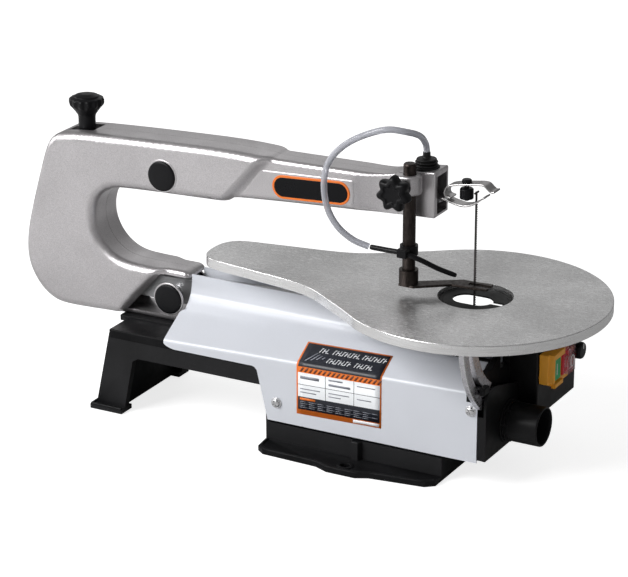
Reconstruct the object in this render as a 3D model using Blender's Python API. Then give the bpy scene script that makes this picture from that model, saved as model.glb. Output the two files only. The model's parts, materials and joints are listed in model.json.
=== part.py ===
"""Benchtop variable-speed scroll saw with parallel arms, one named solid for each subcomponent.

Outlines are in millimetres from the blade line at the table top: +X to the operator, -Y the label
side, +Z up. SHIFT moves that point into the row frame, whose origin is the middle of the footprint.
"""

import math

import bmesh
import bpy
import numpy as np
from mathutils import Matrix, Vector

# Driving dimensions, in millimetres
SHIFT = (177.5, 0.0, 165.0)
GAP = 0.3
TABLE_R, PLATE, RIM_H, RIM_W = 127.0, 6.0, 10.0, 5.0
HOLE_R, INSERT_R = 35.0, 34.6
PIVOT_X, UPPER_Z, LOWER_Z = -318.0, 74.0, -50.0
BLADE_TOP = 97.0
SCREW_X = -11.0
LINK_X, LINK_TOP = -420.0, 78.0
REAR_HALF, FRONT_HALF, HEAD_HALF, WALL = 25.0, 17.5, 14.0, 5.0
ARM_HALF = 6.0
POST = (-57.0, -24.0)
POST_R = 6.0
STAR_Z = 106.0
PANEL_Y, SHEET = 60.0, 1.4
HOUSING_FRONT = -296.5
SECTOR_X = (32.8, 37.3)
COVER_X = 38.5
SCREWS = {
    -1: (("rear", -176.7, -119.7), ("front", 25.5, -87.7)),
    1: (("rear", -176.7, -119.7), ("front", 14.0, -87.7)),
}
PORT = (-10.0, -112.0)
PORT_R = 18.7
MOTOR = (-110.0, -98.0)
MOTOR_R = 31.0
CRANK_R = 4.2
SPEED = (68.5, -63.4)

# Side outlines, (x, z)
C_FRAME = [
    (-252, 56), (-207, 106.8), (-250, 108.6), (-327, 105.8), (-376, 103.6), (-422, 100.8),
    (-440, 97.5), (-449.5, 91), (-456, 80), (-465.5, 48), (-474, 18), (-480.5, -9), (-482, -30),
    (-479.5, -44), (-474, -56), (-465, -68), (-451, -77.5), (-437, -80), (-410, -79.5),
    (-378, -78), (-303, -78), (-297, -72), (-297, -24), (-352, -24), (-372, -22), (-387, -13.5),
    (-397, -1), (-401.5, 14), (-400, 30), (-393, 42), (-382, 49.5), (-366, 52),
]
C_CAVITY = [
    (-262, 62), (-236, 90), (-250, 98), (-327, 97), (-376, 95.5), (-420, 93.5), (-436, 90.5),
    (-445, 85), (-450, 77), (-459.5, 47), (-468, 17), (-474.5, -9), (-476, -30), (-473.5, -42),
    (-468.5, -53), (-460.5, -63.5), (-448, -71.5), (-437, -73.5), (-378, -72.5), (-290, -72),
    (-290, -30), (-352, -30), (-374, -28), (-391, -18), (-403, -3), (-408, 14), (-406, 33),
    (-397, 47), (-383, 56), (-366, 58),
]
FRONT_ARM = [
    (-268, 57), (-237, 61), (-160, 66), (-84, 70), (-84, 107.4), (-100, 107), (-150, 106.2),
    (-204, 105.4), (-240, 99), (-262, 78),
]
HEAD = [(-92, 69.6), (-64, 71.4), (-36, 72.6), (-36, 117), (-66, 113.6), (-80, 109), (-92, 107)]
TUNNEL = [
    (-268, 64), (-237, 66), (-160, 70.5), (-84, 74.6), (-30, 76), (-30, 112.5), (-66, 109),
    (-90, 103.3), (-150, 101.9), (-204, 101), (-240, 95), (-268, 90),
]

nodes = bpy.data.collections.new("scroll_saw")
cutters = bpy.data.collections.new("cutters")


def clear_scene():
    for obj in list(bpy.data.objects):
        bpy.data.objects.remove(obj, do_unlink=True)
    for collection in (nodes, cutters):
        bpy.context.scene.collection.children.link(collection)
    cutters.hide_render = True


def material(name, colour, metallic, roughness):
    made = bpy.data.materials.new(name)
    made.use_nodes = True
    shader = made.node_tree.nodes["Principled BSDF"]
    shader.inputs["Base Color"].default_value = (*colour, 1.0)
    shader.inputs["Metallic"].default_value = metallic
    shader.inputs["Roughness"].default_value = roughness
    return made


# Shapes: each returns a bmesh in millimetres

TURNED = {
    "Z": Matrix.Identity(4),
    "X": Matrix.Rotation(math.pi / 2, 4, "Z") @ Matrix.Rotation(math.pi / 2, 4, "X"),
    "Y": Matrix.Rotation(math.pi / 2, 4, "X"),
}


def mesh_from(curve):
    """A curve made into a bmesh, with its loose caps welded on."""
    guide = bpy.data.objects.new("guide", curve)
    mesh = bpy.data.meshes.new_from_object(guide)
    bm = bmesh.new()
    bm.from_mesh(mesh)
    bmesh.ops.remove_doubles(bm, verts=bm.verts, dist=0.001)
    bpy.data.objects.remove(guide)
    bpy.data.meshes.remove(mesh)
    return bm


def prism(outline, axis, low, high, bevel=0.0, segments=2, ends="both"):
    """A flat outline extruded along an axis. ends says which rims are rounded."""
    curve = bpy.data.curves.new("outline", "CURVE")
    curve.dimensions = "2D"
    curve.fill_mode = "BOTH"
    curve.extrude = (high - low) / 2
    spline = curve.splines.new("POLY")
    spline.points.add(len(outline) - 1)
    flip = -1 if axis == "Y" else 1
    for point, (u, v) in zip(spline.points, outline):
        point.co = (u, v, 0, 1)
    spline.use_cyclic_u = True
    bm = mesh_from(curve)
    bmesh.ops.recalc_face_normals(bm, faces=bm.faces)
    bmesh.ops.dissolve_limit(bm, angle_limit=0.001, verts=bm.verts, edges=bm.edges)
    if bevel:
        wanted = {"both": (1, -1), "low": (-flip,), "high": (flip,)}[ends]
        caps = [f for f in bm.faces if any(f.normal.z * side > 0.99 for side in wanted)]
        rim = list({edge for face in caps for edge in face.edges})
        bmesh.ops.bevel(
            bm, geom=rim, offset=bevel, segments=segments, profile=0.5, affect="EDGES",
            clamp_overlap=True,
        )
    middle = Matrix.Translation((0, 0, flip * (low + high) / 2))
    bmesh.ops.transform(bm, matrix=TURNED[axis] @ middle, verts=bm.verts)
    return bm


def block(x, y, z, bevel=0.0, segments=1):
    bm = bmesh.new()
    bmesh.ops.create_cube(bm, size=1.0)
    spans = (x, y, z)
    bmesh.ops.scale(bm, vec=Vector([b - a for a, b in spans]), verts=bm.verts)
    bmesh.ops.translate(bm, vec=Vector([(a + b) / 2 for a, b in spans]), verts=bm.verts)
    if bevel:
        bmesh.ops.bevel(
            bm, geom=list(bm.edges), offset=bevel, segments=segments, profile=0.5, affect="EDGES"
        )
    return bm


def placed(bm, centre, axis):
    """Turns a shape made along Z to lie along an axis through the centre."""
    turned = TURNED[axis]
    if axis == "Y":
        turned = Matrix.Rotation(-math.pi / 2, 4, "X")
    bmesh.ops.transform(bm, matrix=Matrix.Translation(centre) @ turned, verts=bm.verts)
    bmesh.ops.recalc_face_normals(bm, faces=bm.faces)
    return bm


def lathe(profile, centre, axis="Z", segments=24):
    """A profile of (radius, height) pairs spun about an axis through the centre."""
    bm = bmesh.new()
    points = [bm.verts.new((radius, 0, height)) for radius, height in profile]
    for a, b in zip(points, points[1:] + points[:1]):
        if a.co.x > 0 or b.co.x > 0:
            bm.edges.new((a, b))
    bmesh.ops.spin(
        bm, geom=list(bm.verts) + list(bm.edges), cent=(0, 0, 0), axis=(0, 0, 1),
        angle=2 * math.pi, steps=segments, use_merge=True,
    )
    bmesh.ops.remove_doubles(bm, verts=bm.verts, dist=0.001)
    return placed(bm, centre, axis)


def rod(radius, centre, axis, low, high, segments=24, chamfer=0.0):
    bm = bmesh.new()
    bmesh.ops.create_cone(
        bm, cap_ends=True, segments=segments, radius1=radius, radius2=radius, depth=high - low
    )
    bmesh.ops.translate(bm, vec=(0, 0, (low + high) / 2), verts=bm.verts)
    if chamfer:
        rims = [edge for edge in bm.edges if edge.verts[0].co.z == edge.verts[1].co.z]
        bmesh.ops.bevel(
            bm, geom=rims, offset=chamfer, segments=1, profile=0.5, affect="EDGES"
        )
    return placed(bm, centre, axis)


def ring(outer, inner, centre, axis, low, high, segments=24):
    profile = [(inner, low), (outer, low), (outer, high), (inner, high)]
    return lathe(profile, centre, axis, segments)


def pipe(points, radius, sides=8):
    """A round bar along a path."""
    curve = bpy.data.curves.new("path", "CURVE")
    curve.dimensions = "3D"
    curve.bevel_depth = radius
    curve.bevel_resolution = sides // 2 - 2
    curve.use_fill_caps = True
    spline = curve.splines.new("POLY")
    spline.points.add(len(points) - 1)
    for point, place in zip(spline.points, points):
        point.co = (*place, 1)
    bm = mesh_from(curve)
    bmesh.ops.recalc_face_normals(bm, faces=bm.faces)
    return bm


def smooth_path(points, count):
    """Catmull-Rom points through the given ones."""
    given = np.array(points, float)
    ends = np.vstack([2 * given[0] - given[1], given, 2 * given[-1] - given[-2]])
    out = []
    spans = len(given) - 1
    for s in np.linspace(0, spans, count):
        i = min(int(s), spans - 1)
        t = s - i
        a, b, c, d = ends[i : i + 4]
        out.append(
            0.5 * (2 * b + (c - a) * t + (2 * a - 5 * b + 4 * c - d) * t**2
                   + (3 * b - a - 3 * c + d) * t**3)
        )
    return out


def arc(centre, radius, start, end, count):
    turns = np.radians(np.linspace(start, end, count))
    return [(centre[0] + radius * math.cos(t), centre[1] + radius * math.sin(t)) for t in turns]


# Objects

def add(name, bm, finish=None, pivot=(0, 0, 0), cutter=False):
    """Makes an object whose origin is the pivot, in the row frame and in metres."""
    origin = Vector(pivot)
    bmesh.ops.translate(bm, vec=-origin, verts=bm.verts)
    bmesh.ops.scale(bm, vec=Vector((0.001,) * 3), verts=bm.verts)
    mesh = bpy.data.meshes.new(name)
    bm.to_mesh(mesh)
    bm.free()
    obj = bpy.data.objects.new(name, mesh)
    obj.location = (origin + Vector(SHIFT)) * 0.001
    (cutters if cutter else nodes).objects.link(obj)
    if cutter:
        obj.hide_render = True
        obj.display_type = "WIRE"
    else:
        mesh.shade_smooth()
        mesh.set_sharp_from_angle(angle=math.radians(30))
        mesh.materials.append(material(name, *finish))
    return obj


def combine(obj, bm, operation, label):
    other = add(f"{obj.name}_{label}", bm, cutter=True)
    modifier = obj.modifiers.new(label, "BOOLEAN")
    modifier.operation = operation
    modifier.solver = "EXACT"
    modifier.object = other


def cut(obj, **shapes):
    for label, bm in shapes.items():
        combine(obj, bm, "DIFFERENCE", label)


def join(obj, **shapes):
    for label, bm in shapes.items():
        combine(obj, bm, "UNION", label)


SILVER = ((0.55, 0.55, 0.56), 0.6, 0.42)
BLACK_CAST = ((0.02, 0.02, 0.022), 0.2, 0.4)
SHEET_SILVER = ((0.6, 0.62, 0.64), 0.4, 0.35)
GROUND = ((0.6, 0.6, 0.6), 0.9, 0.35)
STEEL = ((0.5, 0.5, 0.5), 1.0, 0.3)
PLASTIC = ((0.02, 0.02, 0.02), 0.0, 0.45)
OXIDE = ((0.05, 0.045, 0.04), 0.7, 0.4)
ZINC = ((0.65, 0.65, 0.66), 1.0, 0.28)
YELLOW = ((0.95, 0.5, 0.05), 0.0, 0.4)
GREEN = ((0.0, 0.45, 0.15), 0.0, 0.35)
RED = ((0.75, 0.03, 0.05), 0.0, 0.35)
CLEAR = ((0.8, 0.8, 0.8), 0.0, 0.1)


def side_span(sign, inner, outer):
    """The span along Y of a shape that lies between two distances on one side."""
    return (inner, outer) if sign > 0 else (-outer, -inner)


def housing_half(name, sign):
    rounded = "high" if sign > 0 else "low"
    low, high = side_span(sign, -4, REAR_HALF)
    half = add(name, prism(C_FRAME, "Y", low, high, 8.0, 3, rounded), SILVER)
    front = prism(FRONT_ARM, "Y", *side_span(sign, -5, FRONT_HALF), 4.0, 2, rounded)
    head = prism(HEAD, "Y", *side_span(sign, -6, HEAD_HALF), 2.0, 2, rounded)
    join(half, front=front, head=head)
    cut(
        half,
        cavity=prism(C_CAVITY, "Y", *side_span(sign, -8, REAR_HALF - WALL)),
        tunnel=prism(TUNNEL, "Y", *side_span(sign, -9, 10.0)),
        knob_slot=block((LINK_X - 14, LINK_X + 14), side_span(sign, -10, 11.5), (85, 110)),
        split=block((-500, 0), side_span(sign, -12, GAP / 2), (-100, 140)),
        upper_seat=rod(5.3, (PIVOT_X, 0, UPPER_Z), "Y", *side_span(sign, 10, 23), 16),
        lower_seat=rod(5.3, (PIVOT_X, 0, LOWER_Z), "Y", *side_span(sign, 10, 23), 16),
        bellows_hole=rod(4.0, (-52, 0, 0), "Z", 100, 125, 12),
    )


def housing():
    housing_half("housing_near", -1)
    housing_half("housing_far", 1)
    for side, sign in (("near", -1), ("far", 1)):
        for level, x, z in (("upper", -320.5, 72.6), ("lower", -315.7, -51.7)):
            profile = [(0, 25.3), (15, 25.3), (15, 26.6), (13.4, 27.6), (0, 28.1)]
            cap = lathe([(r, sign * h) for r, h in profile], (x, 0, z), "Y", 28)
            add(f"pivot_cap_{level}_{side}", cap, PLASTIC)
    for level, z in (("upper", UPPER_Z), ("lower", LOWER_Z)):
        add(f"pivot_pin_{level}", rod(5.0, (PIVOT_X, 0, z), "Y", -22, 22, 20, 0.6), STEEL)
    badge = arc((-133, 83.5), 11.0, -90, 90, 9) + arc((-192, 80), 11.0, 90, 270, 9)
    add("arm_badge", prism(badge, "Y", -18.6, -17.8), PLASTIC)


def arms():
    upper = [
        (-434, 68), (-434, 88), (-400, 90), (-318, 89), (-240, 93), (-90, 98.5), (-38, 100),
        (-30, 97.5), (-26, 91), (-8, 91), (-8, 88), (-14, 83.6), (-30, 82.6), (-90, 80.5),
        (-240, 70), (-318, 60), (-400, 62),
    ]
    pivot = (PIVOT_X, 0, UPPER_Z)
    arm = add("upper_arm", prism(upper, "Y", -ARM_HALF, ARM_HALF, 1.0, 1), ZINC, pivot)
    cut(arm, bore=rod(5.3, pivot, "Y", -10, 10, 20), link=rod(5.5, (LINK_X, 0, 0), "Z", 60, 95, 16))
    lower = [
        (-434, -56), (-434, -36), (-400, -34), (-318, -36), (-200, -30), (-60, -33), (-12, -35),
        (-8, -38), (-8, -46), (-40, -50), (-200, -50), (-318, -63), (-400, -60),
    ]
    pivot = (PIVOT_X, 0, LOWER_Z)
    arm = add("lower_arm", prism(lower, "Y", -ARM_HALF, ARM_HALF, 1.0, 1), ZINC, pivot)
    cut(
        arm,
        bore=rod(5.3, pivot, "Y", -10, 10, 20),
        link=rod(5.5, (LINK_X, 0, 0), "Z", -70, -25, 16),
        crank=rod(3.3, (MOTOR[0], 0, -38), "Y", -10, 10, 16),
    )


def blade_end_parts():
    leaf = [
        (-29, 100.3), (-26, 104.6), (-4, 106.2), (5, 107.2), (9.5, 103.2), (10.5, 99.6),
        (14.5, 102.4), (15.4, 101.2), (10.5, 97.2), (8.4, 98.2), (7.6, 102.2), (4.2, 105),
        (-4, 104.6), (-25, 103), (-27, 99.6), (-25, 97.2), (4, 98.4), (4, 96.8), (-26, 95.6),
    ]
    pivot = (PIVOT_X, 0, UPPER_Z)
    clamp = add("blade_clamp_upper", prism(leaf, "Y", -6.5, 6.5), STEEL, pivot)
    cut(
        clamp,
        blade_slot=block((-3.5, 3.5), (-1.2, 1.2), (90, 112)),
        screw_hole=rod(2.4, (SCREW_X, 0, 0), "Z", 90, 112, 12),
    )
    screw = rod(2.0, (SCREW_X, 0, 0), "Z", 91.6, 108, 12)
    screw = add("clamp_screw_upper", screw, PLASTIC, (SCREW_X, 0, 100))
    join(screw, head=rod(4.4, (SCREW_X, 0, 0), "Z", 106, 110.5, 12, 0.6))
    strip = add("blade", block((-2.2, 0.2), (-0.35, 0.35), (-31, 100.6)), STEEL, (0, 0, BLADE_TOP))
    join(
        strip,
        top_pin=rod(1.0, (-1, 0, 99.6), "Y", -3.8, 3.8, 10),
        bottom_pin=rod(1.0, (-1, 0, -29.6), "Y", -3.8, 3.8, 10),
    )
    pivot = (PIVOT_X, 0, LOWER_Z)
    holder = [
        (-19, -31.3), (7, -31.3), (7, -33.8), (4, -42), (-7.5, -42), (-7.5, -34.3), (-19, -33),
    ]
    holder = add("blade_clamp_lower", prism(holder, "Y", -6.5, 6.5), STEEL, pivot)
    cut(
        holder,
        blade_slot=block((-3.6, 9), (-1.2, 1.2), (-45, -28)),
        pin_seat=block((-2.6, 0.8), (-5, 5), (-32.8, -28)),
    )
    add("clamp_screw_lower", rod(3.5, (2.4, 0, -37.2), "Y", -19, -6.9, 14, 0.5), PLASTIC,
        (2.4, 0, -37.2))


def rear_tension():
    pivot = (LINK_X, 0, LINK_TOP)
    link = add("tension_rod", rod(3.5, (LINK_X, 0, 0), "Z", -64, 95, 16), STEEL, pivot)
    join(
        link,
        upper_seat=ring(8.0, 2.0, (LINK_X, 0, 0), "Z", 92.2, 95, 16),
        lower_nut=rod(8.0, (LINK_X, 0, 0), "Z", -67, -61.5, 6),
    )
    head = [
        (0, 96), (8.5, 96), (8.5, 112), (10, 115), (14.5, 120.6), (16.6, 123), (16.6, 129),
        (15.4, 130.6), (8, 134), (0, 135),
    ]
    knob = add("tension_knob", lathe(head, (LINK_X, 0, 0), "Z", 32), PLASTIC, (LINK_X, 0, 110))
    lobes = []
    for k in range(16):
        at = 2 * math.pi * k / 16
        centre = (LINK_X + 15.6 * math.cos(at), 15.6 * math.sin(at))
        lobes += arc(centre, 2.3, math.degrees(at) - 78, math.degrees(at) + 78, 4)
    join(knob, lobes=prism(lobes, "Z", 123.4, 129.2))


def table_outline(inset=0.0):
    """The plan of the table, (x, y), anticlockwise, with a fillet where the neck meets the disc."""
    side = [
        (-279.5, 8), (-277, 18), (-271, 26.5), (-262, 31), (-245, 34), (-226, 36.8), (-206, 40),
        (-186, 43), (-166, 46.6), (-150, 51.5), (-138, 57.5), (-126, 65.5), (-114, 74.5),
        (-104, 80.5),
    ]
    start = math.degrees(math.atan2(84.5, -94.8))
    disc = arc((0, 0), TABLE_R, -start, start, 57)
    outline = disc + side[::-1] + [(x, -y) for x, y in side]
    points = np.array(outline)
    if not inset:
        return [tuple(p) for p in points]
    ahead, behind = np.roll(points, -1, 0), np.roll(points, 1, 0)
    run = ahead - behind
    normal = np.stack([-run[:, 1], run[:, 0]], 1) / np.linalg.norm(run, axis=1)[:, None]
    return [tuple(p) for p in points + inset * normal]


def table():
    pivot = (0, 0, 0)
    top = add("table", prism(table_outline(), "Z", -RIM_H, 0, 0.8, 1, "high"), GROUND, pivot)
    cut(top, underside=prism(table_outline(RIM_W), "Z", -RIM_H - 3, -PLATE))
    join(top, boss=rod(HOLE_R + 6, (0, 0, 0), "Z", -9, -4, 40))
    cut(
        top,
        hole=rod(HOLE_R - 3, (0, 0, 0), "Z", -20, 5, 40),
        seat=rod(HOLE_R, (0, 0, 0), "Z", -6.2, 5, 40),
    )
    plate = add("table_insert", rod(INSERT_R, (0, 0, 0), "Z", -5.9, -4.2, 40), PLASTIC, pivot)
    cut(
        plate,
        opening=prism(arc((4, 0), 13, -90, 90, 9) + arc((-9, 0), 13, 90, 270, 9), "Z", -8, 2),
        slot=block((0, 28), (-3.5, 3.5), (-8, 2)),
    )
    outer = arc((0, 0), 104.5, -173.5, -126, 13)
    inner = arc((0, 0), 76, -122, -172.2, 12)
    sector = add("tilt_trunnion", prism(outer + inner, "X", *SECTOR_X), SILVER, pivot)
    slot = arc((0, 0), 94, -169.8, -132, 10) + arc((0, 0), 87, -132, -169.8, 10)
    cut(sector, slot=prism(slot, "X", SECTOR_X[0] - 2, SECTOR_X[1] + 2))
    web = [(-103.4, -6.3), (-75.4, -6.3), (-75.4, -12), (-102.6, -13)]
    join(sector, web=prism(web, "X", SECTOR_X[0] - 6, SECTOR_X[1]))


def tilt_lock():
    at = math.radians(-136)
    y, z = 90.5 * math.cos(at), 90.5 * math.sin(at)
    bolt = add("tilt_lock_knob", rod(3.0, (0, y, z), "X", 27, 42, 12), PLASTIC, (38, y, z))
    grip = block((37.8, 44), (y - 6, y + 6), (z - 4, z + 4), 1.2)
    join(bolt, grip=grip)
    plate = [
        (-54, -118), (-54, -79), (-72, -74), (-72, -62), (-62, -54.5), (-30, -56), (-16.5, -50),
        (-16.5, -24), (-4, -15.8), (9.4, -15.8), (9.4, -118),
    ]
    plate = add("trunnion_bracket", prism(plate, "X", 26.5, 32.3), BLACK_CAST)
    cut(
        plate,
        bolt=rod(3.4, (0, y, z), "X", 20, 40, 12),
        duct=rod(17.0, (0, PORT[0], PORT[1]), "X", 20, 40, 24),
        arm_way=block((20, 40), (-12, 5), (-62, -20)),
    )


def base_outline():
    near = [
        (-190, -58), (-188, -76), (-180, -82), (-122, -84), (-108, -90), (-78, -90), (-66, -84),
        (-12, -77), (-4, -70),
    ]
    return near + [(x, -y) for x, y in near[::-1]]


def base():
    """One black casting: rear deck on two legs, spine under the lower arm, and front tub."""
    deck = block((-364, -184), (-58, 58), (-90, -80.3), 1.0)
    casting = add("base_casting", deck, BLACK_CAST)
    shapes = {
        "pad": block((-372, -300), (-24, 24), (-84, -78.4)),
        "spine": block((-200, 20), (-14, 14), (-92, -66)),
        "nose": block((14, 26.2), (-30, 9.4), (-100, -66)),
        "rear_wall": block((-363.5, -357), (-57.4, 57.4), (-164.6, -84)),
        "tub": block((-189.5, -4), (-57.7, 57.7), (-164.8, -88)),
        "flange": prism(base_outline(), "Z", -165, -160),
    }
    leg = [
        (-363.8, -84), (-381, -164.7), (-349, -164.7), (-338, -110), (-332, -106), (-184, -106),
        (-184, -84),
    ]
    foot = [(-384, -165), (-384, -160.5), (-348, -160.5), (-348, -165)]
    for side, sign in (("near", -1), ("far", 1)):
        shapes[f"beam_{side}"] = prism(leg, "Y", *side_span(sign, 50.3, 57.8))
        shapes[f"foot_{side}"] = prism(foot, "Y", *side_span(sign, 45, 64))
    join(casting, **shapes)
    cut(
        casting,
        hollow=block((-184, -10), (-52, 52), (-170, -95)),
        bay_near=block((-184, 10), (-52, -14.1), (-100, -60)),
        bay_far=block((-184, 10), (14.1, 52), (-100, -60)),
        open_front=block((-12, 6), (-50, 50), (-141, -93)),
        motor_door=block((-160, -60), (45, 70), (-135, -60)),
        panel_room_near=block((-186, 0), (-66, -55), (-142, -60)),
        panel_room_far=block((-186, 0), (55, 66), (-142, -60)),
        rod_window=block((-140, -80), (6.5, 20), (-116, -60)),
        bolt_near=rod(4.5, (-93, -79, 0), "Z", -170, -150, 16),
        bolt_far=rod(4.5, (-93, 79, 0), "Z", -170, -150, 16),
    )


def panel(name, sign):
    """A folded cover: flat side, bend that rises to the front, slope up beside the lower arm."""
    bm = bmesh.new()
    lines = []
    for x, bend, foot in ((-301.0, -80.8, -141.0), (32.0, -71.5, -138.5)):
        section = [
            (PANEL_Y, foot), (PANEL_Y, bend - 1), (59.3, bend + 1.2), (57.4, bend + 2.8),
            (28, bend + 20), (20, -52.5), (15, -46.5), (12.8, -39), (12, -27),
        ]
        inside = max(x, HOUSING_FRONT)
        lines.append([bm.verts.new((inside if y < 26 else x, sign * y, z)) for y, z in section])
    for i in range(len(lines[0]) - 1):
        strip = (lines[0][i], lines[0][i + 1], lines[1][i + 1], lines[1][i])
        bm.faces.new(strip if sign > 0 else strip[::-1])
    bmesh.ops.triangulate(bm, faces=bm.faces[:])
    bmesh.ops.solidify(bm, geom=bm.faces[:], thickness=SHEET)
    bmesh.ops.recalc_face_normals(bm, faces=bm.faces)
    sheet = add(name, bm, SHEET_SILVER)
    notch = [
        (-310, -150), (-183.5, -150), (-186.5, -139), (-198, -91), (-203, -87.3), (-289, -87.3),
        (-298, -85.4), (-310, -78.6),
    ]
    cut(
        sheet,
        notch=prism(notch, "Y", *side_span(sign, 40, 70)),
        bracket_way=block((26, 40), side_span(sign, 5, 70), (-80.3, -15)),
        clamp_way=block((-40, 30), side_span(sign, 4, 26), (-58, -15)),
    )
    for label, x, z in SCREWS[sign]:
        cut(sheet, **{f"{label}_hole": rod(2.6, (x, 0, z), "Y", *side_span(sign, 50, 70), 12)})
    return sheet


def panels():
    panel("side_panel_near", -1)
    far = panel("side_panel_far", 1)
    hole = rod(MOTOR_R + 2, (MOTOR[0], 0, MOTOR[1]), "Y", 22, 70, 36)
    below = block((MOTOR[0] - MOTOR_R - 2, MOTOR[0] + MOTOR_R + 2), (50, 70), (-150, MOTOR[1]))
    cut(
        far,
        motor_hole=hole,
        motor_gap=below,
        rod_way=block((-132, -88), (4, 30), (-60, -15)),
        box_way=block((24.4, 40), (5, 70), (-118, -15)),
    )
    for side, sign in (("near", -1), ("far", 1)):
        for label, x, z in SCREWS[sign]:
            profile = [(0, 55.4), (2.2, 55.4), (2.2, 60.3), (4.2, 60.3), (3.6, 62), (0, 62.8)]
            screw = lathe([(r, sign * h) for r, h in profile], (x, 0, z), "Y", 16)
            add(f"panel_screw_{label}_{side}", screw, ZINC)
    label = [(-155, -128), (-155, -82), (-63, -78.5), (-63, -124)]
    add("label_plate", prism(label, "Y", -60.8, -60.25), SHEET_SILVER)


def front_parts():
    cover = [
        (-60, -135.5), (-60, -78), (-58, -71.5), (-52, -67.6), (-44, -66.8), (-30, -70),
        (-14, -74.5), (9.6, -81), (9.6, -135.5),
    ]
    face = add("front_cover", prism(cover, "X", COVER_X, COVER_X + 2.4), PLASTIC)
    join(
        face,
        side=block((32.6, COVER_X + 1), (-59.9, -57.6), (-135.4, -92.6)),
        foot=block((32.6, COVER_X + 1), (-59.8, 5), (-135.3, -131)),
    )
    cut(face, duct=rod(17.0, (0, PORT[0], PORT[1]), "X", 30, 45, 28))
    x0 = COVER_X + 2.7
    profile = [
        (17, x0), (19.5, x0), (19.5, x0 + 1.4), (18.2, x0 + 1.4), (18.2, x0 + 2.6),
        (19.5, x0 + 2.6), (19.5, x0 + 4), (17, x0 + 4),
    ]
    centre = (0, PORT[0], PORT[1])
    add("dust_collar", lathe(profile, centre, "X", 32), PLASTIC)
    profile = [(16.6, 45.6), (PORT_R, 45.6), (PORT_R, 76.4), (PORT_R - 0.6, 77), (16.6, 77)]
    add("dust_port", lathe(profile, centre, "X", 32), PLASTIC)


def switch_parts():
    side = [
        (25, -16), (58.5, -16), (60, -17.5), (60, -115), (40, -115), (37.7, -90.5), (25, -90.5),
    ]
    shell = add("switch_box", prism(side, "Y", 10.3, 98.0, 1.0, 1), PLASTIC)
    cut(
        shell,
        speed_hole=rod(3.6, (0, *SPEED), "X", 50, 62, 16),
        switch_pocket=block((56, 62), (18, 57), (-83, -54)),
    )
    bezel = [(12.5, -51.5), (58.8, -51.5), (58.8, -86.4), (25, -86.4), (12.5, -80.5)]
    frame = add("switch_frame", prism(bezel, "X", 60.3, 70, 0.8, 1, "high"), YELLOW)
    cut(
        frame,
        green_bay=block((50, 75), (19, 37.5), (-81, -57)),
        red_bay=block((50, 75), (41.2, 56.6), (-81, -57)),
    )
    green = block((61, 71.6), (19.5, 37), (-80.5, -57.5), 0.8)
    add("start_button", green, GREEN, (66, 28.2, -69))
    red = block((61, 71.8), (41.7, 56.1), (-80.5, -57.5), 0.8)
    add("stop_button", red, RED, (66, 48.9, -69))
    flap = block((72.3, 77.2), (42.2, 58.2), (-79, -51.6), 0.8)
    flap = add("stop_flap", flap, RED, (72.6, 50, -50.2))
    cut(flap, hollow=block((70, 76), (43.4, 57), (-77.6, -55)))
    join(flap, barrel=rod(1.5, (72.6, 0, -50.2), "Y", 43, 57.4, 12),
         web=block((72.5, 75.5), (44, 56.4), (-52.4, -50)))
    y, z = SPEED
    add("speed_bush", ring(6.0, 3.3, (0, y, z), "X", 60.3, 62.3, 20), STEEL)
    knob = lathe(
        [(0, 52), (3.0, 52), (3.0, 63), (9.3, 63), (9.3, 66), (8.6, 67), (8.0, 79.4), (7.4, 80.4),
         (0, 80.4)], (0, y, z), "X", 24,
    )
    add("speed_knob", knob, PLASTIC, (70, y, z))
    gland = [(0, 98.3), (7, 98.3), (7, 100.5), (5, 101), (5, 111), (4, 112), (0, 112)]
    add("cord_gland", lathe(gland, (48, 0, -88), "Y", 16), PLASTIC)


def drive():
    x, z = MOTOR
    profile = [
        (0, 22), (12, 22), (12, 26), (MOTOR_R - 2, 26), (MOTOR_R, 28), (MOTOR_R, 96),
        (MOTOR_R - 2, 99), (12, 99), (12, 102), (0, 102),
    ]
    motor = add("motor", lathe(profile, (x, 0, z), "Y", 36), BLACK_CAST)
    join(motor, flange=block((x - 48, x + 48), (26.6, 30), (z - 24, z + 24)))
    cut(motor, shaft_hole=rod(4.4, (x, 0, z), "Y", 15, 40, 16))
    profile = [(0, 13.2), (11, 13.2), (11, 19), (4, 19), (4, 38), (0, 38)]
    shaft = add("crank_disc", lathe(profile, (x, 0, z), "Y", 24), STEEL, (x, 15, z))
    join(shaft, crank_pin=rod(3.0, (x, 0, z + CRANK_R), "Y", 7.4, 14, 14))
    pin_z = -38
    eye = ring(16.5, 12.6, (x, 0, z), "Y", 7.6, 11.6, 28)
    con = add("connecting_rod", eye, ZINC, (x, 0, pin_z))
    join(
        con,
        shank=block((x - 4.5, x + 4.5), (8.0, 11.2), (z + 14.5, pin_z - 3)),
        small_eye=rod(7.5, (x, 0, pin_z), "Y", 7.6, 11.6, 20),
    )
    cut(con, eye_hole=rod(3.3, (x, 0, pin_z), "Y", 0, 20, 16))
    pin = lathe(
        [(0, -8.4), (5, -8.4), (5, -6.3), (3, -6.3), (3, 11.9), (4.6, 11.9), (4.6, 13), (0, 13)],
        (x, 0, pin_z), "Y", 16,
    )
    add("wrist_pin", pin, STEEL, (PIVOT_X, 0, LOWER_Z))


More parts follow.
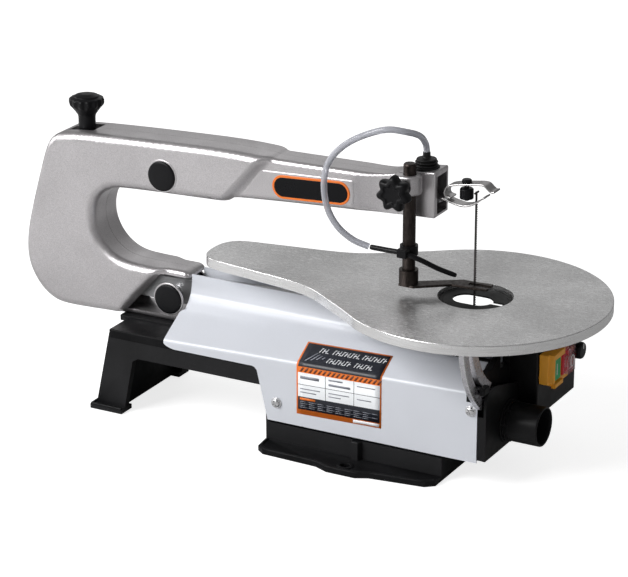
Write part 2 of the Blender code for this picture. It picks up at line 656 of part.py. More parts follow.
def hold_down():
    x, y = POST
    boss = block((x - 14, x + 14), (-34, -HEAD_HALF - GAP), (97, 115.5), 1.5)
    boss = add("post_clamp", boss, SILVER)
    cut(boss, bore=rod(POST_R + 0.3, (x, y, 0), "Z", 90, 120, 24),
        split=block((x - 18, x - 4), (y - 0.8, y + 0.8), (90, 120)),
        stud=rod(2.8, (x, 0, STAR_Z), "Y", -40, -26, 12))
    pivot = (x, y, 60)
    post = add("hold_down_post", rod(POST_R, (x, y, 0), "Z", 12, 126, 24, 0.8), OXIDE, pivot)
    lobes = []
    for k in range(7):
        at = 2 * math.pi * k / 7 + math.pi / 2
        centre = (x + 12.6 * math.cos(at), STAR_Z + 12.6 * math.sin(at))
        lobes += arc(centre, 4.9, math.degrees(at) - 70, math.degrees(at) + 70, 6)
    star = add("star_knob", prism(lobes, "Y", -62, -49.5, 1.6, 2), PLASTIC, (x, -50, STAR_Z))
    join(star, hub=rod(7.5, (x, 0, STAR_Z), "Y", -52, -36.5, 18),
         stud=rod(2.5, (x, 0, STAR_Z), "Y", -40, -30.6, 12))
    collar = ring(9.0, POST_R + GAP, (x, y, 0), "Z", 11.3, 24, 24)
    foot = add("hold_down_foot", collar, OXIDE, pivot)
    plan = [(x - 7, y - 7), (x + 8, y - 7.5), (-20, -9), (14, -7.6), (14, -3.2), (-7, -3.2),
            (-7, 3.2), (14, 3.2), (14, 7.2), (-16, 7.2), (x + 6, y + 8), (x - 6, y + 6)]
    join(foot, fork=prism(plan, "Z", 8.4, 10.6),
         web=ring(8.8, POST_R - 1, (x, y, 0), "Z", 9, 11.6, 24))
    clip = ring(8.6, POST_R + GAP, (x, y, 0), "Z", 38.5, 47.5, 20)
    clip = add("nozzle_clip", clip, PLASTIC, pivot)
    join(clip, lug=block((x - 5, x + 5), (y - 16, y - 7.6), (38.8, 47.2), 0.8))
    way = [(-90.2, -36.2, 43.4), (-74, -36, 43.2), (-57, -36, 43), (-42, -32, 38),
           (-28, -21, 28), (-16, -9.5, 20)]
    path = smooth_path(way, 16)
    cut(clip, way=pipe(smooth_path(way, 16), 2.9, 8))
    add("blower_nozzle", pipe(path, 2.5, 8), PLASTIC, pivot)


HOSE = [
    (-52, 0, 129.2), (-51.8, -0.8, 134), (-51.5, -5, 140), (-48, -22, 151), (-52, -40, 160),
    (-70, -48, 162),
    (-97, -50, 151), (-116, -51, 137), (-127, -52, 121), (-130.5, -52, 102), (-127.5, -51, 80),
    (-118.5, -48, 62.5), (-106, -42, 50), (-92, -36.3, 43.5),
]


def blower():
    profile = [
        (0, 118.3), (9.5, 118.3), (10, 119), (10, 119.8), (8.2, 120.5), (10, 121.2), (10, 122),
        (8.2, 122.7), (9.4, 123.4), (9.2, 124.2), (4, 125.2), (3.2, 125.6), (3.2, 128.6),
        (0, 128.6),
    ]
    add("air_bellows", lathe(profile, (-52, 0, 0), "Z", 24), PLASTIC)
    add("air_hose", pipe(smooth_path(HOSE, 40), 3.0, 8), CLEAR)


def main():
    clear_scene()
    base()
    housing()
    arms()
    blade_end_parts()
    rear_tension()
    table()
    tilt_lock()
    panels()
    front_parts()
    switch_parts()
    drive()
    hold_down()
    blower()


main()
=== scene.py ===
"""Finished looks of a benchtop scroll saw, laid out as an add-on with one operator for each group of pieces.

Shapes are worked out in millimetres from the blade line at the table top: +X to the operator, -Y the
label side, +Z up. SHIFT moves that point into the row frame, which is in metres.
"""

import json
import math

import bmesh
import bpy
import numpy as np
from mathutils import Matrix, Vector
from mathutils.geometry import delaunay_2d_cdt


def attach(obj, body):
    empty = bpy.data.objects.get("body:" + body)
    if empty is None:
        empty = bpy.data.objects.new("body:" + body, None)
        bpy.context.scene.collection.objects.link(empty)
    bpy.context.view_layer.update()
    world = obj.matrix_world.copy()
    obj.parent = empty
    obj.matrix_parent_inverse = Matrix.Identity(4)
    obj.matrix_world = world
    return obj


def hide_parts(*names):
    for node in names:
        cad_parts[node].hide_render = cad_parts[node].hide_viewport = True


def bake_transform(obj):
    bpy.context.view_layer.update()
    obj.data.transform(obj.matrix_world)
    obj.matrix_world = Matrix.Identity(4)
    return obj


bl_info = {
    "name": "Scroll Saw Looks",
    "version": (1, 0, 0),
    "blender": (4, 5, 0),
    "location": "View3D > Sidebar > Scroll Saw",
    "description": "Painted, ground and moulded surfaces of a benchtop scroll saw",
    "category": "Add Mesh",
}

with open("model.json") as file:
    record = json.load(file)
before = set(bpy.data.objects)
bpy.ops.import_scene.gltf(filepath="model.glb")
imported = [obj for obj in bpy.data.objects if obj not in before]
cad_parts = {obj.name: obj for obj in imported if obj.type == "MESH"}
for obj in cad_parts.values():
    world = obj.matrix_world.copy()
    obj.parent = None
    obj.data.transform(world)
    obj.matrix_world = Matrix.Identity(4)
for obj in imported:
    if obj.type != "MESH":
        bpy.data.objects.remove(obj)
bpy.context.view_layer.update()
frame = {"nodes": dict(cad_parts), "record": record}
SHIFT = np.array([177.5, 0.0, 165.0])
SLOT_OF = {row["node"]: row["material_slot"] for row in frame["record"]["subparts"]}
BODY_OF = {
    node: body for body, members in frame["record"]["behaviour"]["bodies"].items() for node in members
}

# Driving sizes, in millimetres
TABLE_R, HOLE_R = 127.0, 35.0
POST = (-57.0, -24.0)
STAR_Z = 106.0
PORT = (-10.0, -112.0)
MOTOR = (-110.0, -98.0)
SPEED = (68.5, -63.4)
TENSION_X = -420.0
SCREW_X = -11.0
BELLOWS_X = -52.0
WELD = 2e-6  # metres


# ---------------------------------------------------------------- shapes


def closed_bspline(points, tension, spacing):
    """Corner-cut curve: each corner becomes a parabola that starts and ends a share of each side away."""
    corners = np.asarray(points, float)
    reach = np.broadcast_to(np.asarray(tension, float), (len(corners),))
    before, after = np.roll(corners, 1, 0), np.roll(corners, -1, 0)
    length_in = np.linalg.norm(corners - before, axis=1)
    length_out = np.linalg.norm(after - corners, axis=1)
    cut_in = np.minimum(reach, 0.5 * length_in) / length_in
    cut_out = np.minimum(reach, 0.5 * length_out) / length_out
    start = corners + (before - corners) * cut_in[:, None]
    end = corners + (after - corners) * cut_out[:, None]
    t = np.linspace(0, 1, 9)[None, :, None]
    curve = (1 - t) ** 2 * start[:, None] + 2 * t * (1 - t) * corners[:, None] + t**2 * end[:, None]
    path = curve.reshape(-1, 2)
    return resampled(np.vstack([path, path[:1]]), spacing)[:-1]


def resampled(path, spacing):
    """The same line with points at even steps of its length, its two ends kept."""
    path = np.asarray(path, float)
    step = np.linalg.norm(np.diff(path, axis=0), axis=1)
    keep = np.r_[True, step > 1e-6]
    path = path[keep]
    run = np.r_[0, np.cumsum(np.linalg.norm(np.diff(path, axis=0), axis=1))]
    count = max(int(round(run[-1] / spacing)), 3) + 1
    at = np.linspace(0, run[-1], count)
    return np.stack([np.interp(at, run, path[:, k]) for k in range(path.shape[1])], 1)


def turning(outline):
    """Twice the signed area of a closed outline, positive when it runs anticlockwise."""
    after = np.roll(outline, -1, 0)
    return float(np.sum(outline[:, 0] * after[:, 1] - outline[:, 1] * after[:, 0]))


def inset(outline, depth):
    """Each point moved inwards along the mitre of its two sides, the mitre held to twice the depth."""
    outline = np.asarray(outline, float)
    sense = 1.0 if turning(outline) > 0 else -1.0
    side = np.roll(outline, -1, 0) - outline
    side /= np.linalg.norm(side, axis=1)[:, None]
    normal = sense * np.stack([-side[:, 1], side[:, 0]], 1)
    mitre = normal + np.roll(normal, 1, 0)
    mitre /= np.linalg.norm(mitre, axis=1)[:, None]
    share = np.clip(np.sum(mitre * normal, axis=1), 0.5, 1)
    return outline + mitre * (depth / share)[:, None]


def shell_of_rings(rings, loop=False):
    """Rings of equal length joined by quads. The first and last rings are closed by one flat face each."""
    rings = np.asarray(rings, float)
    rows, columns = rings.shape[:2]
    index = np.arange(rows * columns).reshape(rows, columns)
    above = np.roll(index, -1, 0) if loop else index[1:]
    below = index if loop else index[:-1]
    quads = np.stack([below, np.roll(below, -1, 1), np.roll(above, -1, 1), above], -1).reshape(-1, 4)
    faces = quads.tolist()
    if not loop:
        faces += [index[0, ::-1].tolist(), index[-1].tolist()]
    return rings.reshape(-1, 3), faces


def on_axis(outline, height, axis):
    """Outline points and their height put in space: X keeps (y, z), Y keeps (x, z), Z keeps (x, y)."""
    tall = np.broadcast_to(np.asarray(height, float), (len(outline),))
    order = {"X": (tall, outline[:, 0], outline[:, 1]), "Y": (outline[:, 0], tall, outline[:, 1]),
             "Z": (outline[:, 0], outline[:, 1], tall)}[axis]
    return np.stack(order, 1)


def plate(outline, axis, low, high, round_low=0.6, round_high=0.6, steps=3):
    """A flat outline with thickness, whose rims are quarter circles: in by r(1-cos a), up by r sin a."""
    outline = np.asarray(outline, float)
    turns = np.linspace(0, math.pi / 2, steps + 1)
    rings = [on_axis(inset(outline, round_low * (1 - math.sin(a))), low + round_low * (1 - math.cos(a)), axis)
             for a in turns]
    rings += [on_axis(inset(outline, round_high * (1 - math.cos(a))), high - round_high * (1 - math.sin(a)),
                      axis) for a in turns]
    return shell_of_rings(rings)


def lathe(profile, centre, axis="Z", count=64, wave=None):
    """A profile of (radius, height) carried round an axis, a tube when it keeps off the axis at both ends.
    wave scales the radius by angle."""
    profile = np.asarray(profile, float)
    angle = np.linspace(0, 2 * math.pi, count, endpoint=False)
    radius = profile[:, :1] * np.ones((1, count))
    if wave is not None:
        radius = radius * wave(angle[None, :], profile[:, 1:])
    tall = np.broadcast_to(profile[:, 1:], radius.shape)
    u, v = radius * np.cos(angle), radius * np.sin(angle)
    order = {"Z": (u, v, tall), "X": (tall, u, v), "Y": (u, tall, v)}[axis]
    rings = np.stack(order, -1) + np.asarray(centre, float)
    return shell_of_rings(rings, loop=bool(profile[0, 0] > 0.5 and profile[-1, 0] > 0.5))


def turned_curve(points, radius=0.5, steps=3):
    """An open profile with each inner corner rounded by a small parabola."""
    points = np.asarray(points, float)
    out = [points[:1]]
    t = np.linspace(0, 1, steps + 1)[:, None]
    for before, corner, after in zip(points[:-2], points[1:-1], points[2:]):
        reach_in = min(radius, 0.45 * np.linalg.norm(corner - before)) / np.linalg.norm(corner - before)
        reach_out = min(radius, 0.45 * np.linalg.norm(after - corner)) / np.linalg.norm(after - corner)
        a, b = corner + (before - corner) * reach_in, corner + (after - corner) * reach_out
        out.append((1 - t) ** 2 * a + 2 * t * (1 - t) * corner + t**2 * b)
    out.append(points[-1:])
    return np.vstack(out)


def smooth_path(points, count):
    """Catmull-Rom points through the given ones."""
    given = np.array(points, float)
    ends = np.vstack([2 * given[0] - given[1], given, 2 * given[-1] - given[-2]])
    s = np.linspace(0, len(given) - 1, count)
    i = np.minimum(s.astype(int), len(given) - 2)
    t = (s - i)[:, None]
    a, b, c, d = ends[i], ends[i + 1], ends[i + 2], ends[i + 3]
    return 0.5 * (2 * b + (c - a) * t + (2 * a - 5 * b + 4 * c - d) * t**2
                  + (3 * b - a - 3 * c + d) * t**3)


def tube(path, radius, sides=16, flat=1.0, lean=None):
    """A circle carried along a path, closed at both ends. Its frames lean on the upright, or on a given
    direction that the path never takes."""
    path = np.asarray(path, float)
    run = np.gradient(path, axis=0)
    run /= np.linalg.norm(run, axis=1)[:, None]
    upright = np.where(np.abs(run[:, 2:]) > 0.97, [[0, 1, 0]], [[0, 0, 1]])
    side = np.cross(run, upright if lean is None else lean)
    side /= np.linalg.norm(side, axis=1)[:, None]
    up = np.cross(side, run)
    angle = np.linspace(0, 2 * math.pi, sides, endpoint=False)[None, :, None]
    size = np.broadcast_to(np.asarray(radius, float), (len(path),))[:, None, None]
    rings = path[:, None] + size * (np.cos(angle) * side[:, None] + flat * np.sin(angle) * up[:, None])
    return shell_of_rings(rings)


def strip(path, half_width, thickness):
    """A folded sheet: a line of (x, z) given a thickness across it and a width along Y, edges rounded."""
    path = resampled(turned_curve(path, 3.0, 5), 0.7)
    run = np.gradient(path, axis=0)
    run /= np.linalg.norm(run, axis=1)[:, None]
    up = np.stack([-run[:, 1], run[:, 0]], 1)
    soft = 0.3
    section = [(-half_width, 0.5 - soft), (-half_width + soft, 0.5), (half_width - soft, 0.5),
               (half_width, 0.5 - soft), (half_width, soft - 0.5), (half_width - soft, -0.5),
               (soft - half_width, -0.5), (-half_width, soft - 0.5)]
    across = np.array(section)
    middle = path[:, None] + up[:, None] * across[None, :, 1:] * thickness
    rings = np.stack([middle[..., 0], np.broadcast_to(across[:, 0], middle.shape[:2]), middle[..., 1]], -1)
    return shell_of_rings(rings)


def together(*shells):
    """Several closed shapes as the parts of one mesh."""
    points, faces, start = [], [], 0
    for verts, polygons in shells:
        points.append(np.asarray(verts, float))
        faces += [[start + i for i in polygon] for polygon in polygons]
        start += len(verts)
    return np.vstack(points), faces


def grid(points):
    """A rectangle of points as quads."""
    rows, columns = points.shape[:2]
    index = np.arange(rows * columns).reshape(rows, columns)
    quads = np.stack([index[:-1, :-1], index[:-1, 1:], index[1:, 1:], index[1:, :-1]], -1)
    return points.reshape(-1, 3), quads.reshape(-1, 4).tolist()


def side_distance(points, outline):
    """Distance from each point to the nearest side of a closed outline."""
    a, b = outline, np.roll(outline, -1, 0)
    run = b - a
    long = np.sum(run**2, 1)
    best = np.full(len(points), 1e9)
    for low in range(0, len(points), 2000):
        part = points[low : low + 2000]
        t = np.clip(((part[:, None] - a) * run).sum(-1) / long, 0, 1)
        near = a + run * t[..., None]
        best[low : low + 2000] = np.linalg.norm(part[:, None] - near, axis=-1).min(1)
    return best


def inside(points, outline):
    """True where a line to the right of the point crosses the outline an odd number of times."""
    a, b = outline, np.roll(outline, -1, 0)
    x, z = points[:, :1], points[:, 1:]
    spans = (a[:, 1] > z) != (b[:, 1] > z)
    rise = np.where(b[:, 1] == a[:, 1], 1e-9, b[:, 1] - a[:, 1])
    cross = a[:, 0] + (z - a[:, 1]) * (b[:, 0] - a[:, 0]) / rise
    return (spans & (x < cross)).sum(1) % 2 == 1


def soft_step(x, low, high):
    """Rises smoothly from 0 at low to 1 at high: 3t squared less 2t cubed."""
    t = np.clip((x - low) / (high - low), 0, 1)
    return t * t * (3 - 2 * t)


# ---------------------------------------------------------------- objects


def made(name, shell, body="frame", slot=None, replaces=(), sharp=38, recalculate=True, weighted=True):
    """A finished piece from a shape in millimetres: it stands at the origin and rides on its body."""
    return settled(bare(name, shell, recalculate=recalculate), body, slot, replaces, sharp, weighted)


def turned(name, profile, centre, axis="Z", count=64, body="frame", slot=None, replaces=(), radius=0.5, steps=3,
           wave=None):
    """A finished turned piece, the corners of its profile rounded first."""
    shell = lathe(turned_curve(profile, radius, steps), centre, axis, count, wave)
    return made(name, shell, body, slot, replaces)


def settled(obj, body, slot, replaces, sharp=38, weighted=True):
    """Shading, finish, body and slot of a finished piece. With no body, it is left unattached."""
    obj.data.shade_smooth()
    obj.data.set_sharp_from_angle(angle=math.radians(sharp))
    if weighted:
        obj.modifiers.new("flat faces stay flat", "WEIGHTED_NORMAL").keep_sharp = True
    slot = slot or (SLOT_OF[replaces[0]] if replaces else None)
    if slot and not obj.data.materials:
        obj.data.materials.append(finish(slot))
    if body:
        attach(obj, body)
    if replaces:
        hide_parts(*replaces)
    return obj


def carve(obj, shell, operation="DIFFERENCE"):
    """Cuts a closed shape out of an object for good, or joins it on."""
    cutter = bare("cutter", shell, merge=False)
    modifier = obj.modifiers.new("carve", "BOOLEAN")
    modifier.operation, modifier.solver, modifier.object = operation, "EXACT", cutter
    applied(obj)
    bpy.data.objects.remove(cutter)
    return obj


def applied(obj):
    """The object's modifiers made part of its mesh."""
    graph = bpy.context.evaluated_depsgraph_get()
    mesh = bpy.data.meshes.new_from_object(obj.evaluated_get(graph), depsgraph=graph)
    obj.modifiers.clear()
    old, obj.data = obj.data, mesh
    bpy.data.meshes.remove(old)
    return obj


def bare(name, shell, merge=True, recalculate=True):
    """An object at the origin with a mesh from a shape in millimetres, and nothing else."""
    verts, faces = shell
    mesh = bpy.data.meshes.new(name)
    mesh.from_pydata(((np.asarray(verts) + SHIFT) / 1000).tolist(), [], faces)
    worked(mesh, merge, recalculate)
    obj = bpy.data.objects.new(name, mesh)
    bpy.context.scene.collection.objects.link(obj)
    return obj


def worked(mesh, merge=False, recalculate=False, triangles=False, flats=False):
    """Merges a mesh's doubles, dissolves its flat edges, splits its faces or turns them out, as asked."""
    bm = bmesh.new()
    bm.from_mesh(mesh)
    if merge:
        bmesh.ops.remove_doubles(bm, verts=bm.verts, dist=WELD)
    if flats:
        bmesh.ops.dissolve_limit(bm, angle_limit=math.radians(0.6), verts=bm.verts, edges=bm.edges)
    if triangles:
        bmesh.ops.triangulate(bm, faces=bm.faces)
    if recalculate:
        bmesh.ops.recalc_face_normals(bm, faces=bm.faces)
    bm.to_mesh(mesh)
    bm.free()


def eased(node, width=0.5, segments=2, angle=35, sharp=38):
    """A solid's own shape, its corners merged, with a small radius run along its edges."""
    mesh = frame["nodes"][node].data.copy()
    mesh.materials.clear()
    worked(mesh, merge=True, flats=True)
    obj = bpy.data.objects.new(f"{node}_eased", mesh)
    bpy.context.scene.collection.objects.link(obj)
    bevel = obj.modifiers.new("edge radius", "BEVEL")
    bevel.width, bevel.segments, bevel.limit_method = width / 1000, segments, "ANGLE"
    bevel.angle_limit, bevel.use_clamp_overlap = math.radians(angle), True
    applied(obj)
    return settled(obj, BODY_OF[node], SLOT_OF[node], (node,), sharp)


# ---------------------------------------------------------------- finishes

FINISHES = {}


def linked(tree, kind, sources=(), **settings):
    """A node with its settings, and its inputs joined to sockets or set to values."""
    node = tree.nodes.new(kind)
    for key, value in settings.items():
        setattr(node, key, value)
    for key, value in dict(sources).items():
        if isinstance(value, bpy.types.NodeSocket):
            tree.links.new(value, node.inputs[key])
        else:
            node.inputs[key].default_value = value
    return node


def blank(name, colour, metallic, roughness, **sockets):
    """A material with the values that are the same all over set on its shader."""
    material = bpy.data.materials.new(name)
    material.use_nodes = True
    tree = material.node_tree
    shader = tree.nodes["Principled BSDF"]
    shader.inputs["Base Color"].default_value = (*colour, 1)
    shader.inputs["Metallic"].default_value = metallic
    shader.inputs["Roughness"].default_value = roughness
    for key, value in sockets.items():
        shader.inputs[key.replace("_", " ")].default_value = value
    material.diffuse_color = (*colour, 1)
    return material, tree, shader


def speckle(tree, scale, detail=2.0, rough=0.5, stretch=(1, 1, 1), turn=(0, 0, 0), distortion=0.0):
    """Noise in the object's own space: scale counts features in a metre, stretch thins it along an axis."""
    place = linked(tree, "ShaderNodeTexCoord").outputs["Object"]
    placed = linked(tree, "ShaderNodeMapping", {"Vector": place, "Scale": stretch, "Rotation": turn})
    noise = linked(tree, "ShaderNodeTexNoise", {"Vector": placed.outputs[0], "Scale": scale, "Detail": detail,
                                                "Roughness": rough, "Distortion": distortion})
    return noise.outputs[0]


def span(tree, value, low, high, to_low, to_high):
    """The value between low and high carried to another span, held at its ends."""
    return linked(tree, "ShaderNodeMapRange", {"Value": value, "From Min": low, "From Max": high,
                                               "To Min": to_low, "To Max": to_high}).outputs[0]


def sums(tree, operation, a, b):
    """Arithmetic on two sockets or values."""
    return linked(tree, "ShaderNodeMath", {0: a, 1: b}, operation=operation).outputs[0]


def blended(tree, factor, a, b, way="MIX"):
    """Two colours mixed by a factor."""
    colour = [(*c, 1) if isinstance(c, tuple) else c for c in (a, b)]
    return linked(tree, "ShaderNodeMix", {0: factor, 6: colour[0], 7: colour[1]}, data_type="RGBA",
                  blend_type=way).outputs[2]


def raised(tree, shader, height, strength, depth_mm):
    """Joins a height to the shader as a bump, on top of one that is there."""
    before = shader.inputs["Normal"].links
    sources = {"Height": height, "Strength": strength, "Distance": depth_mm / 1000}
    if before:
        sources["Normal"] = before[0].from_socket
    bump = linked(tree, "ShaderNodeBump", sources)
    tree.links.new(bump.outputs[0], shader.inputs["Normal"])


def shades(colour, share):
    """A colour made lighter or darker by a share, held at 1."""
    return tuple(min(c * share, 1.0) for c in colour)


def edge_light(tree, low=0.52, high=0.6):
    """Near 1 on a solid's outer edges, where a painted highlight lightens the colour."""
    point = linked(tree, "ShaderNodeNewGeometry").outputs["Pointiness"]
    return span(tree, point, low, high, 0.0, 1.0)


def coated(name, colour, metallic, roughness, tone=0.05, fleck=0.08, fleck_scale=2600, skin=900,
           skin_mm=0.03, swing=0.06, edge=0.0, **sockets):
    """Sprayed or moulded surface: slow change of tone, fine flecks, uneven gloss and a skin of waves."""
    material, tree, shader = blank(name, colour, metallic, roughness, **sockets)
    slow = span(tree, speckle(tree, 14, 3), 0.35, 0.65, 0.0, 1.0)
    base = blended(tree, slow, shades(colour, 1 - tone), shades(colour, 1 + tone))
    fine = span(tree, speckle(tree, fleck_scale, 1.5), 0.3, 0.7, 0.0, 1.0)
    flecks = blended(tree, fine, (1 - fleck,) * 3, (1 + fleck,) * 3)
    base = blended(tree, 1.0, base, flecks, "MULTIPLY")
    # Painted highlight: with edge set, the outer edges are lightened towards grey.
    if edge:
        base = blended(tree, sums(tree, "MULTIPLY", edge_light(tree), edge), base, (0.42, 0.42, 0.43))
    tree.links.new(base, shader.inputs["Base Color"])
    gloss = span(tree, speckle(tree, 60, 4), 0.3, 0.7, max(roughness - swing, 0.03), roughness + swing)
    tree.links.new(gloss, shader.inputs["Roughness"])
    raised(tree, shader, speckle(tree, skin, 3, 0.6), 0.6, skin_mm)
    return material


def brushed(name, colour, roughness, lines=(1, 1, 40), scale=120, depth=0.01, tone=0.1, stain=0.0,
            stain_colour=(0.1, 0.08, 0.06), **sockets):
    """Bare metal with fine parallel lines: noise pressed thin across the way it was worked."""
    material, tree, shader = blank(name, colour, 1.0, roughness, **sockets)
    fine = speckle(tree, scale, 4, 0.7, lines)
    base = blended(tree, span(tree, fine, 0.3, 0.7, 0, 1), shades(colour, 1 - tone), shades(colour, 1 + tone))
    if stain:
        spots = span(tree, speckle(tree, 90, 6, 0.7), 0.5, 0.72, 0.0, stain)
        base = blended(tree, spots, base, stain_colour)
    tree.links.new(base, shader.inputs["Base Color"])
    gloss = span(tree, speckle(tree, 300, 4, 0.6, lines), 0.3, 0.7, roughness * 0.7, roughness * 1.35)
    tree.links.new(gloss, shader.inputs["Roughness"])
    raised(tree, shader, fine, 0.5, depth)
    return material


def ground_table(name, colour):
    """Ground casting: arcs of fine scratches round scattered centres, painted glints among them, a turned rim
    whose lighter bands are partly painted highlight.
    """
    material, tree, shader = blank(name, colour, 0.92, 0.36)
    place = linked(tree, "ShaderNodeTexCoord").outputs["Object"]
    waves = []
    for scale, rings in ((7.0, 5200.0), (11.0, 4100.0), (16.0, 6100.0)):
        shifted = linked(tree, "ShaderNodeMapping", {"Vector": place, "Location": (scale, rings / 977, 0)})
        cells = linked(tree, "ShaderNodeTexVoronoi", {"Vector": shifted.outputs[0], "Scale": scale})
        turns = sums(tree, "SINE", sums(tree, "MULTIPLY", cells.outputs["Distance"], rings / scale), 0.0)
        mask = span(tree, speckle(tree, 160 + 30 * scale, 3, 0.6), 0.5, 0.62, 0.0, 1.0)
        waves.append(sums(tree, "MULTIPLY", turns, mask))
    arcs = sums(tree, "ADD", sums(tree, "ADD", waves[0], waves[1]), waves[2])
    grit = speckle(tree, 1500, 3, 0.75)
    # Streak noise: it varies the top's gloss, and its peaks are also painted into the colour as glints.
    gloss_and_glint_streaks = speckle(tree, 620, 2, 0.6, (0.3, 1, 1))
    normal = linked(tree, "ShaderNodeNewGeometry").outputs["Normal"]
    facing = linked(tree, "ShaderNodeSeparateXYZ", {0: normal})
    top = span(tree, facing.outputs["Z"], 0.5, 0.9, 0.0, 1.0)
    plain = blended(tree, span(tree, grit, 0.28, 0.72, 0, 1), shades(colour, 0.38), shades(colour, 1.5))
    patch = blended(tree, span(tree, speckle(tree, 9, 4), 0.35, 0.65, 0, 1), (0.86,) * 3, (1.2,) * 3)
    # Painted glints: light streaks in the base colour where the ground face would catch the light.
    face_with_painted_glints = blended(tree, span(tree, gloss_and_glint_streaks, 0.52, 0.66, 0, 0.85), plain, shades(colour, 1.6))
    face = blended(tree, 1.0, face_with_painted_glints, patch, "MULTIPLY")
    # Turned rim: fine bands round it, the lighter ones partly painted highlight where the edge would catch the
    # light.
    rim = blended(tree, span(tree, speckle(tree, 60, 4, 0.6, (1, 1, 60)), 0.3, 0.7, 0, 1),
                  shades(colour, 0.8), shades(colour, 1.5))
    tree.links.new(blended(tree, top, rim, face), shader.inputs["Base Color"])
    rough_top = span(tree, gloss_and_glint_streaks, 0.3, 0.7, 0.28, 0.52)
    rough_rim = span(tree, speckle(tree, 25, 3), 0.3, 0.7, 0.2, 0.32)
    both = linked(tree, "ShaderNodeMix", {0: top, 2: rough_rim, 3: rough_top}).outputs[0]
    tree.links.new(both, shader.inputs["Roughness"])
    raised(tree, shader, sums(tree, "MULTIPLY", arcs, top), 0.25, 0.012)
    raised(tree, shader, grit, 0.35, 0.04)
    return material


def enamel_casting(name, colour):
    """Near-black enamel over a sand casting: pits and swells in the iron, thin shine, a painted grey highlight
    along the edges.
    """
    material, tree, shader = blank(name, colour, 0.0, 0.4, Specular_IOR_Level=0.1)
    slow = span(tree, speckle(tree, 22, 4), 0.3, 0.7, 0, 1)
    base = blended(tree, slow, shades(colour, 0.6), shades(colour, 1.5))
    dust = span(tree, speckle(tree, 700, 5, 0.75), 0.62, 0.8, 0.0, 0.35)
    base = blended(tree, dust, base, (0.035, 0.035, 0.038))
    # Painted highlight: the outer edges lightened towards grey, where they would catch the light.
    base = blended(tree, sums(tree, "MULTIPLY", edge_light(tree, 0.53, 0.62), 0.1), base, (0.13, 0.13, 0.135))
    tree.links.new(base, shader.inputs["Base Color"])
    tree.links.new(span(tree, speckle(tree, 80, 4), 0.3, 0.7, 0.3, 0.52), shader.inputs["Roughness"])
    raised(tree, shader, speckle(tree, 520, 4, 0.65), 0.55, 0.12)
    raised(tree, shader, speckle(tree, 60, 3, 0.5), 0.5, 0.5)
    return material


def clear_tube(name, tint):
    """Soft clear vinyl: clear through its wall, a touch of haze, slow draw lines along it."""
    material, tree, shader = blank(name, tint, 0.0, 0.12, Transmission_Weight=0.5, IOR=1.42)
    haze = blended(tree, span(tree, speckle(tree, 120, 3), 0.3, 0.7, 0, 1), shades(tint, 0.9), tint)
    tree.links.new(haze, shader.inputs["Base Color"])
    tree.links.new(span(tree, speckle(tree, 45, 3), 0.3, 0.7, 0.06, 0.22), shader.inputs["Roughness"])
    raised(tree, shader, speckle(tree, 260, 2), 0.2, 0.05)
    return material


def tinted_flap(name, tint):
    """Red-tinted clear plastic, moulded with a slight ripple."""
    material, tree, shader = blank(name, tint, 0.0, 0.08, Transmission_Weight=0.85, IOR=1.4, Alpha=0.4)
    tree.links.new(blended(tree, span(tree, speckle(tree, 90, 2), 0.3, 0.7, 0, 1), shades(tint, 0.92), tint),
                   shader.inputs["Base Color"])
    tree.links.new(span(tree, speckle(tree, 200, 3), 0.3, 0.7, 0.05, 0.14), shader.inputs["Roughness"])
    raised(tree, shader, speckle(tree, 150, 2), 0.3, 0.05)
    return material


